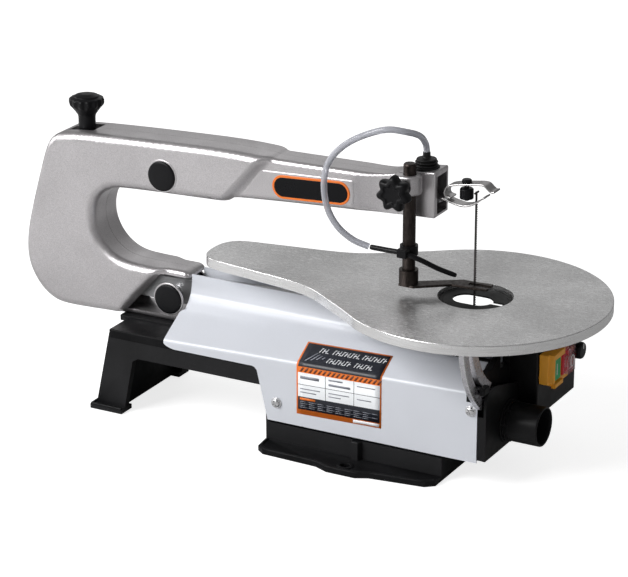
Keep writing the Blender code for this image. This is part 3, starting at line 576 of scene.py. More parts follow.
def finish(slot):
    """The material of a record slot, made the first time that a piece asks for it."""
    if slot in FINISHES:
        return FINISHES[slot]
    colours = bpy.context.scene.saw_colours
    silver, panel, enamel = tuple(colours.arm_silver), tuple(colours.panel_silver), tuple(colours.base_black)
    makers = {
        "arm_paint": lambda n: coated(n, silver, 0.9, 0.37, 0.06, 0.15, 1500, 800, 0.05, 0.06,
                                      Coat_Weight=0.25, Coat_Roughness=0.25),
        "base_black": lambda n: enamel_casting(n, enamel),
        "sheet_silver": lambda n: coated(n, panel, 0.05, 0.42, 0.02, 0.04, 3000, 600, 0.012, 0.04,
                                         Coat_Weight=0.15, Coat_Roughness=0.2),
        "table_ground": lambda n: ground_table(n, tuple(colours.table_metal)),
        "insert_black": lambda n: coated(n, (0.01,) * 3, 0.0, 0.55, 0.2, 0.2, 1500, 1800, 0.05, 0.08,
                                         Specular_IOR_Level=0.25),
        "trunnion_alloy": lambda n: brushed(n, (0.62, 0.61, 0.64), 0.3, (1, 1, 1), 700, 0.06, 0.1),
        "black_plastic": lambda n: coated(n, (0.006, 0.006, 0.007), 0.0, 0.36, 0.2, 0.15, 2200, 1500, 0.03,
                                          0.08, Specular_IOR_Level=0.18),
        "soft_black": lambda n: coated(n, (0.006, 0.006, 0.0065), 0.0, 0.42, 0.15, 0.12, 1800, 1400, 0.04,
                                       0.07, Specular_IOR_Level=0.22),
        "zinc_steel": lambda n: brushed(n, (0.72, 0.72, 0.73), 0.24, (1, 1, 8), 260, 0.01, 0.08),
        "spring_steel": lambda n: brushed(n, (0.42, 0.41, 0.41), 0.3, (3, 30, 3), 160, 0.008, 0.2, 0.4,
                                          (0.2, 0.18, 0.18)),
        "blade_steel": lambda n: brushed(n, (0.03, 0.028, 0.028), 0.35, (1, 1, 20), 300, 0.01, 0.2, 0.4),
        "oxide_steel": lambda n: brushed(n, (0.045, 0.037, 0.034), 0.42, (1, 1, 0.3), 420, 0.03, 0.4, 0.6,
                                         (0.09, 0.075, 0.07)),
        "arm_alloy": lambda n: coated(n, (0.52, 0.52, 0.53), 0.85, 0.42, 0.08, 0.12, 1500, 900, 0.06, 0.08),
        "label_film": lambda n: coated(n, (0.80, 0.81, 0.82), 0.0, 0.35, 0.02, 0.02, 900, 300, 0.006, 0.05),
        "badge_film": lambda n: coated(n, (0.004, 0.004, 0.005), 0.0, 0.3, 0.1, 0.1, 900, 300, 0.006, 0.06,
                                       Specular_IOR_Level=0.15),
        "switch_orange": lambda n: coated(n, (0.97, 0.42, 0.03), 0.0, 0.34, 0.04, 0.03, 1500, 900, 0.02,
                                          0.05),
        "start_green": lambda n: coated(n, (0.005, 0.40, 0.12), 0.0, 0.32, 0.06, 0.03, 1500, 900, 0.02, 0.05),
        "stop_red": lambda n: coated(n, (0.72, 0.03, 0.06), 0.0, 0.32, 0.06, 0.03, 1500, 900, 0.02, 0.05),
        "flap_clear": lambda n: tinted_flap(n, (0.93, 0.42, 0.47)),
        "bellows_rubber": lambda n: coated(n, (0.008,) * 3, 0.0, 0.5, 0.2, 0.2, 1500, 1200, 0.04, 0.08,
                                           Specular_IOR_Level=0.3),
        "hose_clear": lambda n: clear_tube(n, (0.70, 0.71, 0.77)),
    }
    FINISHES[slot] = makers[slot](slot)
    return FINISHES[slot]


def ink(name, colour, rough=0.4):
    """A printed colour: slightly uneven in depth and gloss."""
    if name not in FINISHES:
        FINISHES[name] = coated(name, colour, 0.0, rough, 0.03, 0.03, 1200, 400, 0.004, 0.05)
    return FINISHES[name]


# ---------------------------------------------------------------- settings


def length(name, description, value_mm):
    """A length setting, its default given in millimetres."""
    return bpy.props.FloatProperty(name=name, description=description, default=value_mm / 1000,
                                   unit="LENGTH", precision=5)


def colour(name, description, value):
    """A colour setting, linear."""
    return bpy.props.FloatVectorProperty(name=name, description=description, default=value, size=3,
                                         subtype="COLOR", min=0, max=1)


class SawColours(bpy.types.PropertyGroup):
    """Main colours of the saw."""

    arm_silver: colour("Arm silver", "Paint on the arm housing", (0.57, 0.55, 0.56))
    panel_silver: colour("Panel silver", "Paint on the folded side covers", (0.66, 0.68, 0.73))
    base_black: colour("Base black", "Enamel on the cast base", (0.006, 0.006, 0.0066))
    table_metal: colour("Table metal", "Ground metal of the table", (0.86, 0.85, 0.85))
    orange: colour("Orange", "Borders of the badge and label", (0.86, 0.19, 0.02))


class SawSizes(bpy.types.PropertyGroup):
    """Sizes that shape the main pieces."""

    rear_half: length("Rear half width", "Half the width of the C-shaped rear of the housing", 25)
    arm_half: length("Arm half width", "Half the width of the housing over the front arm", 17.5)
    head_half: length("Head half width", "Half the width of the housing at its open head", 14)
    rim_radius: length("Rim radius", "Radius that rounds the housing's side into its rim", 8.5)
    table_edge: length("Table edge", "Small radius round the table's top edge", 0.9)
    bend_radius: length("Bend radius", "Outside radius of the fold in a side cover", 5)
    hose_diameter: length("Hose diameter", "Outside diameter of the air hose", 6)
    tooth_pitch: length("Tooth pitch", "Distance between two teeth of the blade", 2.2)


class SawStage(bpy.types.PropertyGroup):
    """Light and floor of the studio."""

    key_power: bpy.props.FloatProperty(
        name="Key power", description="Power of the large soft light in front", default=70, unit="POWER")
    fill_power: bpy.props.FloatProperty(
        name="Fill power", description="Power of the light from the left", default=12, unit="POWER")
    back_power: bpy.props.FloatProperty(
        name="Back power", description="Power of the long light behind", default=4, unit="POWER")
    surround: bpy.props.FloatProperty(
        name="Surround", description="Brightness of the surround as the saw sees it", default=0.24)


# ---------------------------------------------------------------- pieces

HOSE = [
    (-52, 0, 129.2), (-51.8, -0.8, 134), (-51.0, -6, 141.5), (-49, -21, 152), (-53, -38, 159.5),
    (-70, -48, 162), (-97, -50, 151), (-116, -51, 137), (-127, -52, 121), (-130.5, -52, 102),
    (-127.5, -51, 80), (-118.5, -48, 62.5), (-106, -42, 50), (-92, -36.3, 43.5),
]


def air_hose(sizes):
    """The clear hose: a circle carried along a smooth curve through the route's points."""
    route = smooth_path(HOSE, 96)
    radius = sizes.hose_diameter * 500
    shell = tube(route, radius, 32, 1.0, (0.3, 0.85, 0.45))
    hose = made("air_hose_tube", shell, None, None, ("air_hose",), 50, weighted=False)
    path = (route + SHIFT) / 1000
    high, low = path[0].copy(), path[0].copy()
    high[2], low[2] = (SHIFT[2] + 126) / 1000, (SHIFT[2] + 50) / 1000
    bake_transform(hose)


REAR_BODY = [
    (-252, 56), (-207, 106.8), (-250, 108.6), (-327, 105.8), (-376, 103.6), (-422, 100.8),
    (-440, 97.5), (-449.5, 91), (-456, 80), (-465.5, 48), (-474, 18), (-480.5, -9), (-482, -30),
    (-479.5, -44), (-474, -56), (-465, -68), (-451, -77.5), (-437, -80), (-410, -79.5),
    (-378, -78), (-303, -78), (-297, -72), (-297, -24), (-352, -24), (-372, -22), (-387, -13.5),
    (-397, -1), (-401.5, 14), (-400, 30), (-393, 42), (-382, 49.5), (-366, 52),
]
FRONT_BODY = [(-248, 59.6), (-237, 61), (-160, 66), (-84, 70), (-64, 71.4), (-36, 72.6), (-36, 117),
              (-66, 113.6), (-80, 109), (-92, 107), (-150, 106.2), (-204, 105.4)]
STEP_LOW, STEP_HIGH = np.array([-252.0, 56.0]), np.array([-207.0, 106.8])
RAISED_FIELD = [(-238, 63.4), (-215.5, 92.6), (-118, 97.2), (-118, 70.6)]
HOUSING_HOLLOW = [
    (-262, 62), (-236, 90), (-250, 98), (-327, 97), (-376, 95.5), (-420, 93.5), (-436, 90.5),
    (-445, 85), (-450, 77), (-459.5, 47), (-468, 17), (-474.5, -9), (-476, -30), (-473.5, -42),
    (-468.5, -53), (-460.5, -63.5), (-448, -71.5), (-437, -73.5), (-378, -72.5), (-290, -72),
    (-290, -30), (-352, -30), (-374, -28), (-391, -18), (-403, -3), (-408, 14), (-406, 33),
    (-397, 47), (-383, 56), (-366, 58),
]
ARM_TUNNEL = [
    (-268, 64), (-237, 66), (-160, 70.5), (-84, 74.6), (-30, 76), (-30, 112.5), (-66, 109),
    (-90, 103.3), (-150, 101.9), (-204, 101), (-240, 95), (-268, 90),
]


def housing_outline():
    """The housing's side view as one smooth closed line, its few crisp corners kept."""
    corners = REAR_BODY[:1] + FRONT_BODY + REAR_BODY[1:]
    crisp = {(-252, 56): 4, (-248, 59.6): 2, (-36, 72.6): 1.2, (-36, 117): 1.2, (-204, 105.4): 1.5,
             (-207, 106.8): 2.5, (-303, -78): 6, (-297, -72): 6, (-297, -24): 8}
    return closed_bspline(corners, [crisp.get(corner, 60) for corner in corners], 2.2)


def housing_height(points, distance, sizes):
    """Half width of the housing at a point of its side view: the arm's half width, more behind a soft
    diagonal step and less at the head, rounded over near the rim like the side of a circle."""
    rear, arm, head = sizes.rear_half * 1000, sizes.arm_half * 1000, sizes.head_half * 1000
    run = (STEP_HIGH - STEP_LOW) / np.linalg.norm(STEP_HIGH - STEP_LOW)
    behind = (points - STEP_LOW) @ np.array([-run[1], run[0]])
    x = points[:, 0]
    stepped = soft_step(behind, -4.5, 7.5)
    full = arm + (rear - arm) * stepped - (arm - head) * soft_step(x, -118, -84)
    rim = sizes.rim_radius * 1000 * stepped + 5.0 * (1 - stepped)
    rim = rim - (rim - 1.6) * soft_step(x, -110, -80)
    short = rim - np.minimum(distance, rim)
    height = full - rim + np.sqrt(np.maximum(rim**2 - short**2, 0))
    field = np.array(RAISED_FIELD, float)
    edge = side_distance(points, field) * np.where(inside(points, field), 1, -1)
    return height + 0.55 * soft_step(edge, -0.7, 0.7)


def housing_side(sign, sizes):
    """One half of the housing: a sheet of triangles over the side view raised to its height, with a wall."""
    rim = housing_outline()
    low, high = rim.min(0), rim.max(0)
    x, z = np.meshgrid(np.arange(low[0], high[0], 3.0), np.arange(low[1], high[1], 3.0))
    x = x + 1.5 * (np.arange(x.shape[0]) % 2)[:, None]
    seeds = [np.stack([x.ravel(), z.ravel()], 1)]
    for depth in (0.35, 1.1, 2.2, 3.7, 5.6, 7.6):
        seeds.append(inset(rim, depth))
    field = closed_bspline(RAISED_FIELD, 2.0, 1.5)
    for depth in (-0.9, -0.3, 0.3, 0.9):
        seeds.append(inset(field, depth))
    along = np.linspace(-0.05, 1.05, 40)[:, None]
    run = STEP_HIGH - STEP_LOW
    normal = np.array([-run[1], run[0]]) / np.linalg.norm(run)
    for shift in np.linspace(-5, 8, 14):
        seeds.append(STEP_LOW + run * along + normal * shift)
    depths = [None] + [0.35, 1.1, 2.2, 3.7, 5.6, 7.6]
    kept = []
    for number, group in enumerate(seeds):
        group = group[inside(group, rim)]
        reach = side_distance(group, rim)
        if number == 0:
            group = group[reach > 8.2]
            away = side_distance(group, field) > 2.2
            gap = np.abs((group - STEP_LOW) @ normal - 1.5) > 7.5
            group = group[away & (gap | (group[:, 0] < -262) | (group[:, 0] > -196))]
        elif number < len(depths):
            group = group[reach > depths[number] * 0.93]
        else:
            group = group[reach > 8.4]
        kept.append(group)
    inner = np.vstack(kept)
    cells = np.round(inner / 0.45).astype(int)
    inner = inner[np.unique(cells, axis=0, return_index=True)[1]]
    flat = np.vstack([rim, inner])
    count = len(rim)
    sides = [(i, (i + 1) % count) for i in range(count)]
    points, _, triangles, *_ = delaunay_2d_cdt([Vector(p) for p in flat.tolist()], sides, [], 1, 1e-5)
    flat = np.array([tuple(p) for p in points])
    height = housing_height(flat, side_distance(flat, rim), sizes)
    top = on_axis(flat, sign * height, "Y")
    foot = on_axis(flat[:count], np.full(count, sign * 0.15), "Y")
    start = len(top)
    faces = [list(t) for t in triangles]
    faces += [[i, (i + 1) % count, start + (i + 1) % count, start + i] for i in range(count)]
    faces.append([start + i for i in range(count)])
    return np.vstack([top, foot]), faces


def housing(sizes):
    """Both housing halves, hollowed for the arm and slotted for the tension rod, and the four pivot caps."""
    for name, sign in (("near", -1), ("far", 1)):
        half = bare(f"arm_housing_{name}", housing_side(sign, sizes))
        hollow = np.array(HOUSING_HOLLOW, float)
        low, high = (-20, 3) if sign < 0 else (-3, 20)
        carve(half, plate(hollow, "Y", low, high, 0, 0, 1))
        low, high = (-10, 4) if sign < 0 else (-4, 10)
        carve(half, plate(ARM_TUNNEL, "Y", low, high, 0, 0, 1))
        slot = [(TENSION_X - 14, -11.5), (TENSION_X + 14, -11.5), (TENSION_X + 14, 11.5),
                (TENSION_X - 14, 11.5)]
        carve(half, plate(slot, "Z", 85, 112, 0, 0, 1))
        settled(half, "frame", None, (f"housing_{name}",), 40)
    for level, x, z in (("upper", -320.5, 72.6), ("lower", -315.7, -51.7)):
        for name, sign in (("near", -1), ("far", 1)):
            profile = [(0, 24.0), (15, 24.0), (15, 25.9), (14.4, 26.9), (12.5, 27.5), (8, 27.95), (0, 28.1)]
            cap = [(r, sign * h) for r, h in turned_curve(profile, 0.8)]
            ring = [(15.0, 24), (16.3, 24), (16.3, 25.2), (15.9, 25.5), (15.0, 25.5)]
            ring = [(r, sign * h) for r, h in ring]
            made(f"pivot_cap_{level}_{name}_dome", lathe(cap, (x, 0, z), "Y", 72), "frame", None,
                 (f"pivot_cap_{level}_{name}",))
            made(f"pivot_ring_{level}_{name}", lathe(ring, (x, 0, z), "Y", 72), "frame", "arm_paint")


def lozenge(shrink):
    """Two half circles joined: the badge's outline, drawn in by a distance."""
    radius = 11.0 - shrink
    t = np.radians(np.linspace(-90, 90, 25))
    right = np.stack([-133 + radius * np.cos(t), 83.5 + radius * np.sin(t)], 1)
    left = np.stack([-192 - radius * np.cos(t), 80 - radius * np.sin(t)], 1)
    return np.vstack([right, left])


def badge(colours):
    """The badge on the arm: an orange border under a dark field."""
    back = made("arm_badge_border", plate(lozenge(-0.6), "Y", -18.7, -17.3, 0.5, 0.1), "frame", None,
                ("arm_badge",))
    back.data.materials.clear()
    back.data.materials.append(ink("badge_orange", tuple(colours.orange), 0.3))
    made("arm_badge_field", plate(lozenge(1.5), "Y", -19.0, -17.6, 0.6, 0.1), "frame", "badge_film")


# Side covers and label

PANEL_Y, SLOPE_RISE, SLOPE_RUN = 60.0, 17.2, 29.4


def bend_height(x):
    """Height of the fold's corner, which climbs towards the front."""
    return -80.8 + (x + 301.0) * (9.3 / 333.0) + 1.28


def panel_point(x, s, lift, radius):
    """(y, z) of the cover's outside at a distance s down its section from the middle of the fold, moved
    outwards by lift: a straight side, an arc, then a straight slope."""
    turn = math.pi / 2 - math.atan2(SLOPE_RISE, SLOPE_RUN)
    half = radius * turn / 2
    start = bend_height(x) - radius * math.tan(turn / 2)
    a = np.clip((half - s) / radius, 0, turn)
    out = radius + lift
    y = PANEL_Y - radius + out * np.cos(a)
    z = start + out * np.sin(a) - np.maximum(s - half, 0)
    beyond = np.maximum(-half - s, 0)
    y = y - beyond * math.sin(turn)
    z = z + beyond * math.cos(turn)
    return y, z


def cover_sheet(sign, sizes):
    """Side cover as one sheet: rows run round its section, columns along the saw, lower edge on its outline."""
    radius = sizes.bend_radius * 1000
    edge = np.array([
        (-301, -82.4), (-298.6, -84.6), (-294, -86.4), (-289, -87.3), (-203, -87.3), (-200.2, -88.4),
        (-198, -91), (-186.5, -138.9), (32, -138.5),
    ])
    x = np.unique(np.r_[np.linspace(-301, 32, 70), edge[:, 0], np.linspace(-198, -186.5, 6)])
    bottom = np.interp(x, edge[:, 0], edge[:, 1])
    middle = bend_height(x)
    turn = math.pi / 2 - math.atan2(SLOPE_RISE, SLOPE_RUN)
    half = radius * turn / 2
    lowest = middle - radius * math.tan(turn / 2) - bottom + half
    down = np.linspace(1, 0, 9)[:, None] * np.maximum(lowest - half, 0.3) + half
    fold = np.linspace(half, -half, 13)[1:, None] * np.ones((1, len(x)))
    y_end, z_end = 28.0, middle - 1.28 + 20
    ys, zs = panel_point(x, -half * np.ones(len(x)), 0, radius)
    slope = np.linspace(0, 1, 8)[1:, None]
    rows = [np.stack(panel_point(x[None, :], down, 0, radius), -1)]
    rows.append(np.stack(panel_point(x[None, :], fold, 0, radius), -1))
    straight = np.stack([ys + (y_end - ys) * slope, zs + (z_end - zs) * slope], -1)
    rows.insert(2, straight)
    knee = np.array([(28.0, 0.0), (20.0, -52.5), (15.0, -46.5), (12.8, -39.0), (12.0, -27.0)])
    t = np.linspace(0, 4, 15)[1:]
    ky = np.interp(t, range(5), knee[:, 0])[:, None] * np.ones((1, len(x)))
    kz = np.stack([np.interp(t, range(5), np.r_[z, knee[1:, 1]]) for z in z_end], 1)
    rows.append(np.stack([ky, kz], -1))
    section = np.vstack(rows)
    xs = np.broadcast_to(x, section.shape[:2]).copy()
    xs = np.where(section[..., 0] < 26, np.maximum(xs, -296.5), xs)
    points = np.stack([xs, sign * section[..., 0], section[..., 1]], -1)
    verts, faces = grid(points)
    return verts, faces if sign < 0 else [f[::-1] for f in faces]


def cover(sign, name, sizes):
    """One side cover: the sheet given its thickness and cut clear of what passes through it."""
    obj = bare(f"side_cover_{name}", cover_sheet(sign, sizes), recalculate=False)
    worked(obj.data, triangles=True)
    wall = obj.modifiers.new("sheet", "SOLIDIFY")
    wall.thickness, wall.offset = 0.0014, -1
    applied(obj)
    worked(obj.data, recalculate=True)
    side = (lambda a, b: (a, b)) if sign > 0 else (lambda a, b: (-b, -a))
    ways = [box_shell((-40, 30), side(4, 26), (-58, -15)), box_shell((26, 40), side(5, 58), (-80.3, -15))]
    if sign > 0:
        x, z = MOTOR
        t = np.radians(np.linspace(0, 180, 49))
        arch = np.stack([x + 33 * np.cos(t), z + 33 * np.sin(t)], 1)
        ring = np.stack([x + 33 * np.cos(2 * t), z + 33 * np.sin(2 * t)], 1)[:-1]
        hole = np.vstack([arch, [(x - 33, -150), (x + 33, -150)]])
        ways += [plate(hole, "Y", 40, 70, 0, 0, 1), box_shell((-132, -88), (4, 30), (-60, -15)),
                 box_shell((24.4, 40), (5, 70), (-118, -15)),
                 plate(ring, "Y", 20, 45, 0, 0, 1)]
    for way in ways:
        carve(obj, way)
    settled(obj, "frame", None, (f"side_panel_{name}",), 30, weighted=False)


def box_shell(x, y, z):
    """Six faces between two corners, for cutting."""
    outline = np.array([(x[0], y[0]), (x[1], y[0]), (x[1], y[1]), (x[0], y[1])], float)
    return shell_of_rings([on_axis(outline, z[0], "Z"), on_axis(outline, z[1], "Z")])


def label_patch(u, s, lift, radius, skew=0.0):
    """A piece of the label's print: a small grid laid over the fold. skew slants its sides."""
    us = np.linspace(u[0], u[1], max(int((u[1] - u[0]) / 6), 1) + 1)
    fold = [v for v in np.linspace(-2.8, 2.8, 9) if s[0] < v < s[1]]
    ss = np.unique(np.r_[np.linspace(s[0], s[1], 2), fold])
    grid_s, grid_u = np.meshgrid(ss, us, indexing="ij")
    shift = skew * (grid_s - s[0])
    y, z = panel_point(grid_u + shift, grid_s, lift, radius)
    return grid(np.stack([grid_u + shift, -y, z], -1))


def label(colours, sizes):
    """The label wraps over the fold: white film, orange border, dark head, table of figures, dark notes."""
    radius = sizes.bend_radius * 1000
    orange, dark, white, grey, brown = range(5)
    inks = [ink("label_orange", tuple(colours.orange)), ink("label_dark", (0.012, 0.014, 0.022)),
            ink("label_white", (0.83, 0.85, 0.87)), ink("label_grey", (0.25, 0.26, 0.3)),
            ink("label_brown", (0.16, 0.035, 0.01))]
    under, over, top = 0.12, 0.18, 0.22
    parts = [((-155, -65.5), (-26.5, 50.5), under, orange, 0)]
    parts.append(((-153.4, -67.1), (-25.1, 2.2), over, dark, 0))
    parts.append(((-153.4, -67.1), (8.2, 32.5), over, white, 0))
    parts.append(((-153.4, -67.1), (32.5, 45.5), over, dark, 0))
    parts.append(((-95, -67.8), (46.4, 49.4), over, white, 0))
    parts += [((u, u + 2.4), (3.0, 7.4), over, brown, -0.7) for u in np.arange(-149, -66, 4.8)]
    for u in (-124.5, -94.5):
        parts.append(((u, u + 0.5), (8.2, 32.5), top, dark, 0))
    parts.append(((-153.4, -67.1), (20.0, 20.5), top, dark, 0))
    words = ((-137, -129, -21.5), (-123, -97, -21.5), (-92, -70, -21.5), (-125, -101, -11), (-96, -80, -11))
    for start, end, low in words:
        for k, u in enumerate(np.arange(start, end, 3.1)):
            bar = low + 2.3 * (k % 3)
            parts.append(((u, u + 0.8), (low, low + 5.4), top, white, -0.3))
            parts.append(((u, u + 2.0), (bar, bar + 0.8), 0.24, white, -0.3))
    parts += [((-140 + 3.1 * k, -138.4 + 3.1 * k), (-15 + 1.2 * k, -4 - 1.6 * k), top, grey, -0.8)
              for k in range(4)]
    lines = ((-151, -131, 11.5, 14.5), (-121, -106, 10.5, 12), (-121, -98, 15.0, 17.2), (-151, -130, 24, 25),
             (-151, -134, 27.4, 28.4), (-121, -99, 24, 25), (-121, -108, 27.4, 28.4), (-91, -72, 12, 13),
             (-91, -76, 25, 26))
    parts += [((a, b), (low, high), top, grey, 0) for a, b, low, high in lines]
    parts.append(((-151.5, -135), (33.6, 35.8), top, orange, 0))
    for k, s in enumerate((37.2, 39.2, 41.2, 43.0)):
        for number, u in enumerate(np.arange(-151.5, -70 - 6 * (k % 2), 9.5)):
            parts.append(((u, u + 6.2 + 2.4 * ((number + k) % 2)), (s, s + 0.55), top, grey, 0))
    shells = [label_patch(u, s, lift, radius, skew) for u, s, lift, _, skew in parts]
    verts, faces = together(*shells)
    obj = made("spec_label", (verts, faces), "frame", "label_film", ("label_plate",), 60, False, False)
    obj.data.materials.clear()
    for material in inks:
        obj.data.materials.append(material)
    tones = np.repeat([part[3] for part in parts], [len(shell[1]) for shell in shells])
    if len(tones) == len(obj.data.polygons):
        obj.data.polygons.foreach_set("material_index", tones.astype(np.int32))
    thick = obj.modifiers.new("film", "SOLIDIFY")
    thick.thickness, thick.offset = 0.00008, -1


# Table

NECK = [
    (-279.5, 8), (-277, 18), (-271, 26.5), (-262, 31), (-245, 34), (-226, 36.8), (-206, 40),
    (-186, 43), (-166, 46.6), (-150, 51.5), (-138, 57.5), (-126, 65.5), (-114, 74.2),
    (-104.5, 80.6), (-95, 87.1), (-84, 95.3),
]


def table_rim(count=360):
    """The table's plan as a radius for each angle, so its rings and the hole's rings share their points."""
    start = math.radians(125)
    t = np.linspace(-start, start, 160)
    disc = np.stack([TABLE_R * np.cos(t), TABLE_R * np.sin(t)], 1)
    neck = np.array(NECK[::-1])
    plan = np.vstack([disc, neck, neck[::-1] * [1, -1]])
    reach = [60] * len(disc) + [60] * (2 * len(neck))
    plan = closed_bspline(plan, reach, 1.2)
    angle = np.arctan2(plan[:, 1], plan[:, 0])
    order = np.argsort(angle)
    angle, far = angle[order], np.hypot(*plan[order].T)
    fine = np.linspace(0, 1, count // 2 + 1)
    back = np.r_[np.linspace(0, start, count // 4), start + (math.pi - start) * (1 - (1 - fine[1:]) ** 2)]
    even = np.unique(np.r_[-back[1:-1], back])
    radius = np.interp(even, np.r_[angle - 2 * math.pi, angle, angle + 2 * math.pi], np.tile(far, 3))
    return np.stack([radius * np.cos(even), radius * np.sin(even)], 1), even


def table_top(sizes):
    """Closed rings: out over the top from the hole, down the rim, in under it and back up at the hole."""
    rim, even = table_rim()
    hole = np.stack([np.cos(even), np.sin(even)], 1)
    edge = sizes.table_edge * 1000
    rings = [on_axis(hole * HOLE_R, -6.2, "Z"), on_axis(hole * HOLE_R, -0.7, "Z"),
             on_axis(hole * (HOLE_R + 0.2), -0.2, "Z"), on_axis(hole * (HOLE_R + 0.7), 0, "Z")]
    for a in np.linspace(0, math.pi / 2, 5):
        rings.append(on_axis(inset(rim, edge * (1 - math.sin(a))), -edge * (1 - math.cos(a)), "Z"))
    rings += [on_axis(rim, -9.6, "Z"), on_axis(inset(rim, 0.4), -10, "Z"), on_axis(inset(rim, 4.4), -10, "Z"),
              on_axis(inset(rim, 5.0), -9.4, "Z"), on_axis(inset(rim, 5.6), -6.4, "Z"),
              on_axis(inset(rim, 6.2), -6, "Z"), on_axis(hole * 42, -6, "Z"), on_axis(hole * 41, -6.5, "Z"),
              on_axis(hole * 40.6, -9, "Z"), on_axis(hole * 32.4, -9, "Z"), on_axis(hole * 32, -8.6, "Z"),
              on_axis(hole * 32, -6.2, "Z")]
    made("saw_table", shell_of_rings(rings, loop=True), "table", None, ("table",), 30)
    ribs = []
    for turn in np.radians([35, 85, -35, -85, 130]):
        run = np.array([math.cos(turn), math.sin(turn)])
        across = np.array([-run[1], run[0]]) * 1.6
        a, b = run * 40.5, run * 121.6
        sides = np.array([a - across, b - across, b + across, a + across])
        ribs.append(plate(sides, "Z", -8.8, -5.8, 0.5, 0))
    made("table_ribs", together(*ribs), "table", "table_ground")


def insert_plate():
    """Round moulded insert with a blade opening and a slot: fine steps round its rim."""
    profile = [(0, -5.9), (34.4, -5.9), (34.4, -4.5), (33.2, -4.2), (31.5, -4.2), (31.2, -4.5), (30.4, -4.5),
               (30.1, -4.2), (0, -4.2)]
    obj = bare("table_insert_disc", lathe(turned_curve(profile, 0.25), (0, 0, 0), "Z", 96))
    t = np.radians(np.linspace(-90, 90, 17))
    opening = np.vstack([np.stack([4 + 13 * np.cos(t), 13 * np.sin(t)], 1),
                         np.stack([-9 - 13 * np.cos(t), -13 * np.sin(t)], 1)])
    carve(obj, plate(opening, "Z", -9, 0, 0, 0, 1))
    carve(obj, box_shell((0, 28), (-3.5, 3.5), (-9, 0)))
    settled(obj, "table", None, ("table_insert",), 30)


def sector(radius, start, end, count):
    """Points on an arc about the tilt axis, its angles in degrees."""
    t = np.radians(np.linspace(start, end, count))
    return np.stack([radius * np.cos(t), radius * np.sin(t)], 1)


def trunnion():
    """Curved tilt arm hung under the table: an arc between two radii, its slot on a third."""
    outline = np.vstack([sector(104.5, -173.5, -126, 40), sector(76, -122, -172.2, 34)])
    obj = bare("tilt_arm", plate(outline, "X", 32.8, 37.3, 0.7, 0.9))
    slot = np.vstack([sector(94, -169.8, -132, 34), sector(87, -132, -169.8, 34)])
    carve(obj, plate(slot, "X", 30, 40, 0, 0, 1))
    web = np.array([(-103.4, -6.3), (-75.4, -6.3), (-75.4, -12), (-102.6, -13)])
    carve(obj, plate(web, "X", 26.8, 36.9, 0.6, 0.3), "UNION")
    settled(obj, "table", None, ("tilt_trunnion",), 35)
    rail = np.vstack([sector(104.4, -172.5, -127, 40), sector(101.2, -127, -172.5, 40)])
    made("tilt_arm_rail", plate(rail, "X", 32.55, 37.65, 0.3, 0.3), "table", "zinc_steel")


# Base, front and switch


def base():
    """Cast base with a bead along its flange and feet, a rib on each side and pads round the bolt holes."""
    eased("base_casting", 1.3, 3, 32, 45)
    eased("trunnion_bracket", 0.7, 2)
    flange = np.array([(-190, -58), (-188, -76), (-180, -82), (-122, -84), (-108, -90), (-78, -90),
                       (-66, -84), (-12, -77), (-4, -70)], float)
    for name, sign in (("near", 1), ("far", -1)):
        path = resampled(turned_curve(flange * [1, sign], 5.0, 6), 3.0)
        line = np.c_[path, np.full(len(path), -160.6)]
        toward = np.array([-97.0, 0.0]) - path
        toward /= np.linalg.norm(toward, axis=1)[:, None]
        line[:, :2] += toward * 2.6
        made(f"flange_bead_{name}", tube(line, 1.9, 12, 0.8), "frame", "base_black")
        foot = np.array([(-383, sign * -63), (-349, sign * -63)], float)
        back = [(-382.6, y, -160.2) for y in np.linspace(-sign * 63, -sign * 47, 6)]
        beads = [tube(np.array([(x, y, -160.2) for x, y in resampled(foot, 4)]), 1.5, 10),
                 tube(np.array(back), 1.5, 10)]
        made(f"foot_bead_{name}", together(*beads), "frame", "base_black")
        plan = [(-98, sign * -57), (-86, sign * -57), (-88.5, sign * -63.5), (-95.5, sign * -63.5)]
        rib = plate(np.array(plan, float), "Z", -162, -141.5, 0.2, 1.6)
        made(f"tub_rib_{name}", rib, "frame", "base_black")
        pad = [(4.6, -160.5), (8.2, -160.5), (8.2, -159.4), (7.4, -158.8), (5.2, -158.8), (4.6, -159.4)]
        turned(f"bolt_pad_{name}", pad, (-93, sign * -79, 0), "Z", 48, "frame", "base_black", radius=0.4)


def cross_screw(name, x, z, sign):
    """Pan-head screw on a washer: a dome turned round Y, with a cross cut into it."""
    head = turned_curve([(0, 58.5), (2.1, 58.5), (2.1, 60.2), (5.4, 60.2), (5.4, 60.9), (4.4, 60.9),
                         (4.35, 61.9), (3.6, 63.0), (2.2, 63.6), (0, 63.8)], 0.35)
    obj = bare(f"{name}_head", lathe([(r, sign * y) for r, y in head], (x, 0, z), "Y", 40))
    y = (62.2, 66) if sign > 0 else (-66, -62.2)
    turn = math.radians(28)
    arms = np.array([(-2.6, -0.5), (2.6, -0.5), (2.6, 0.5), (-2.6, 0.5)])
    for extra in (0, math.pi / 2):
        c, s = math.cos(turn + extra), math.sin(turn + extra)
        arm = arms @ np.array([[c, s], [-s, c]]) + [x, z]
        carve(obj, shell_of_rings([on_axis(arm, y[0], "Y"), on_axis(arm, y[1], "Y")]))
    settled(obj, "frame", None, (name,), 30)


def screws():
    """The two screws on each side cover."""
    for side, sign, front in (("near", -1, 25.5), ("far", 1, 14.0)):
        cross_screw(f"panel_screw_rear_{side}", -176.7, -119.7, sign)
        cross_screw(f"panel_screw_front_{side}", front, -87.7, sign)


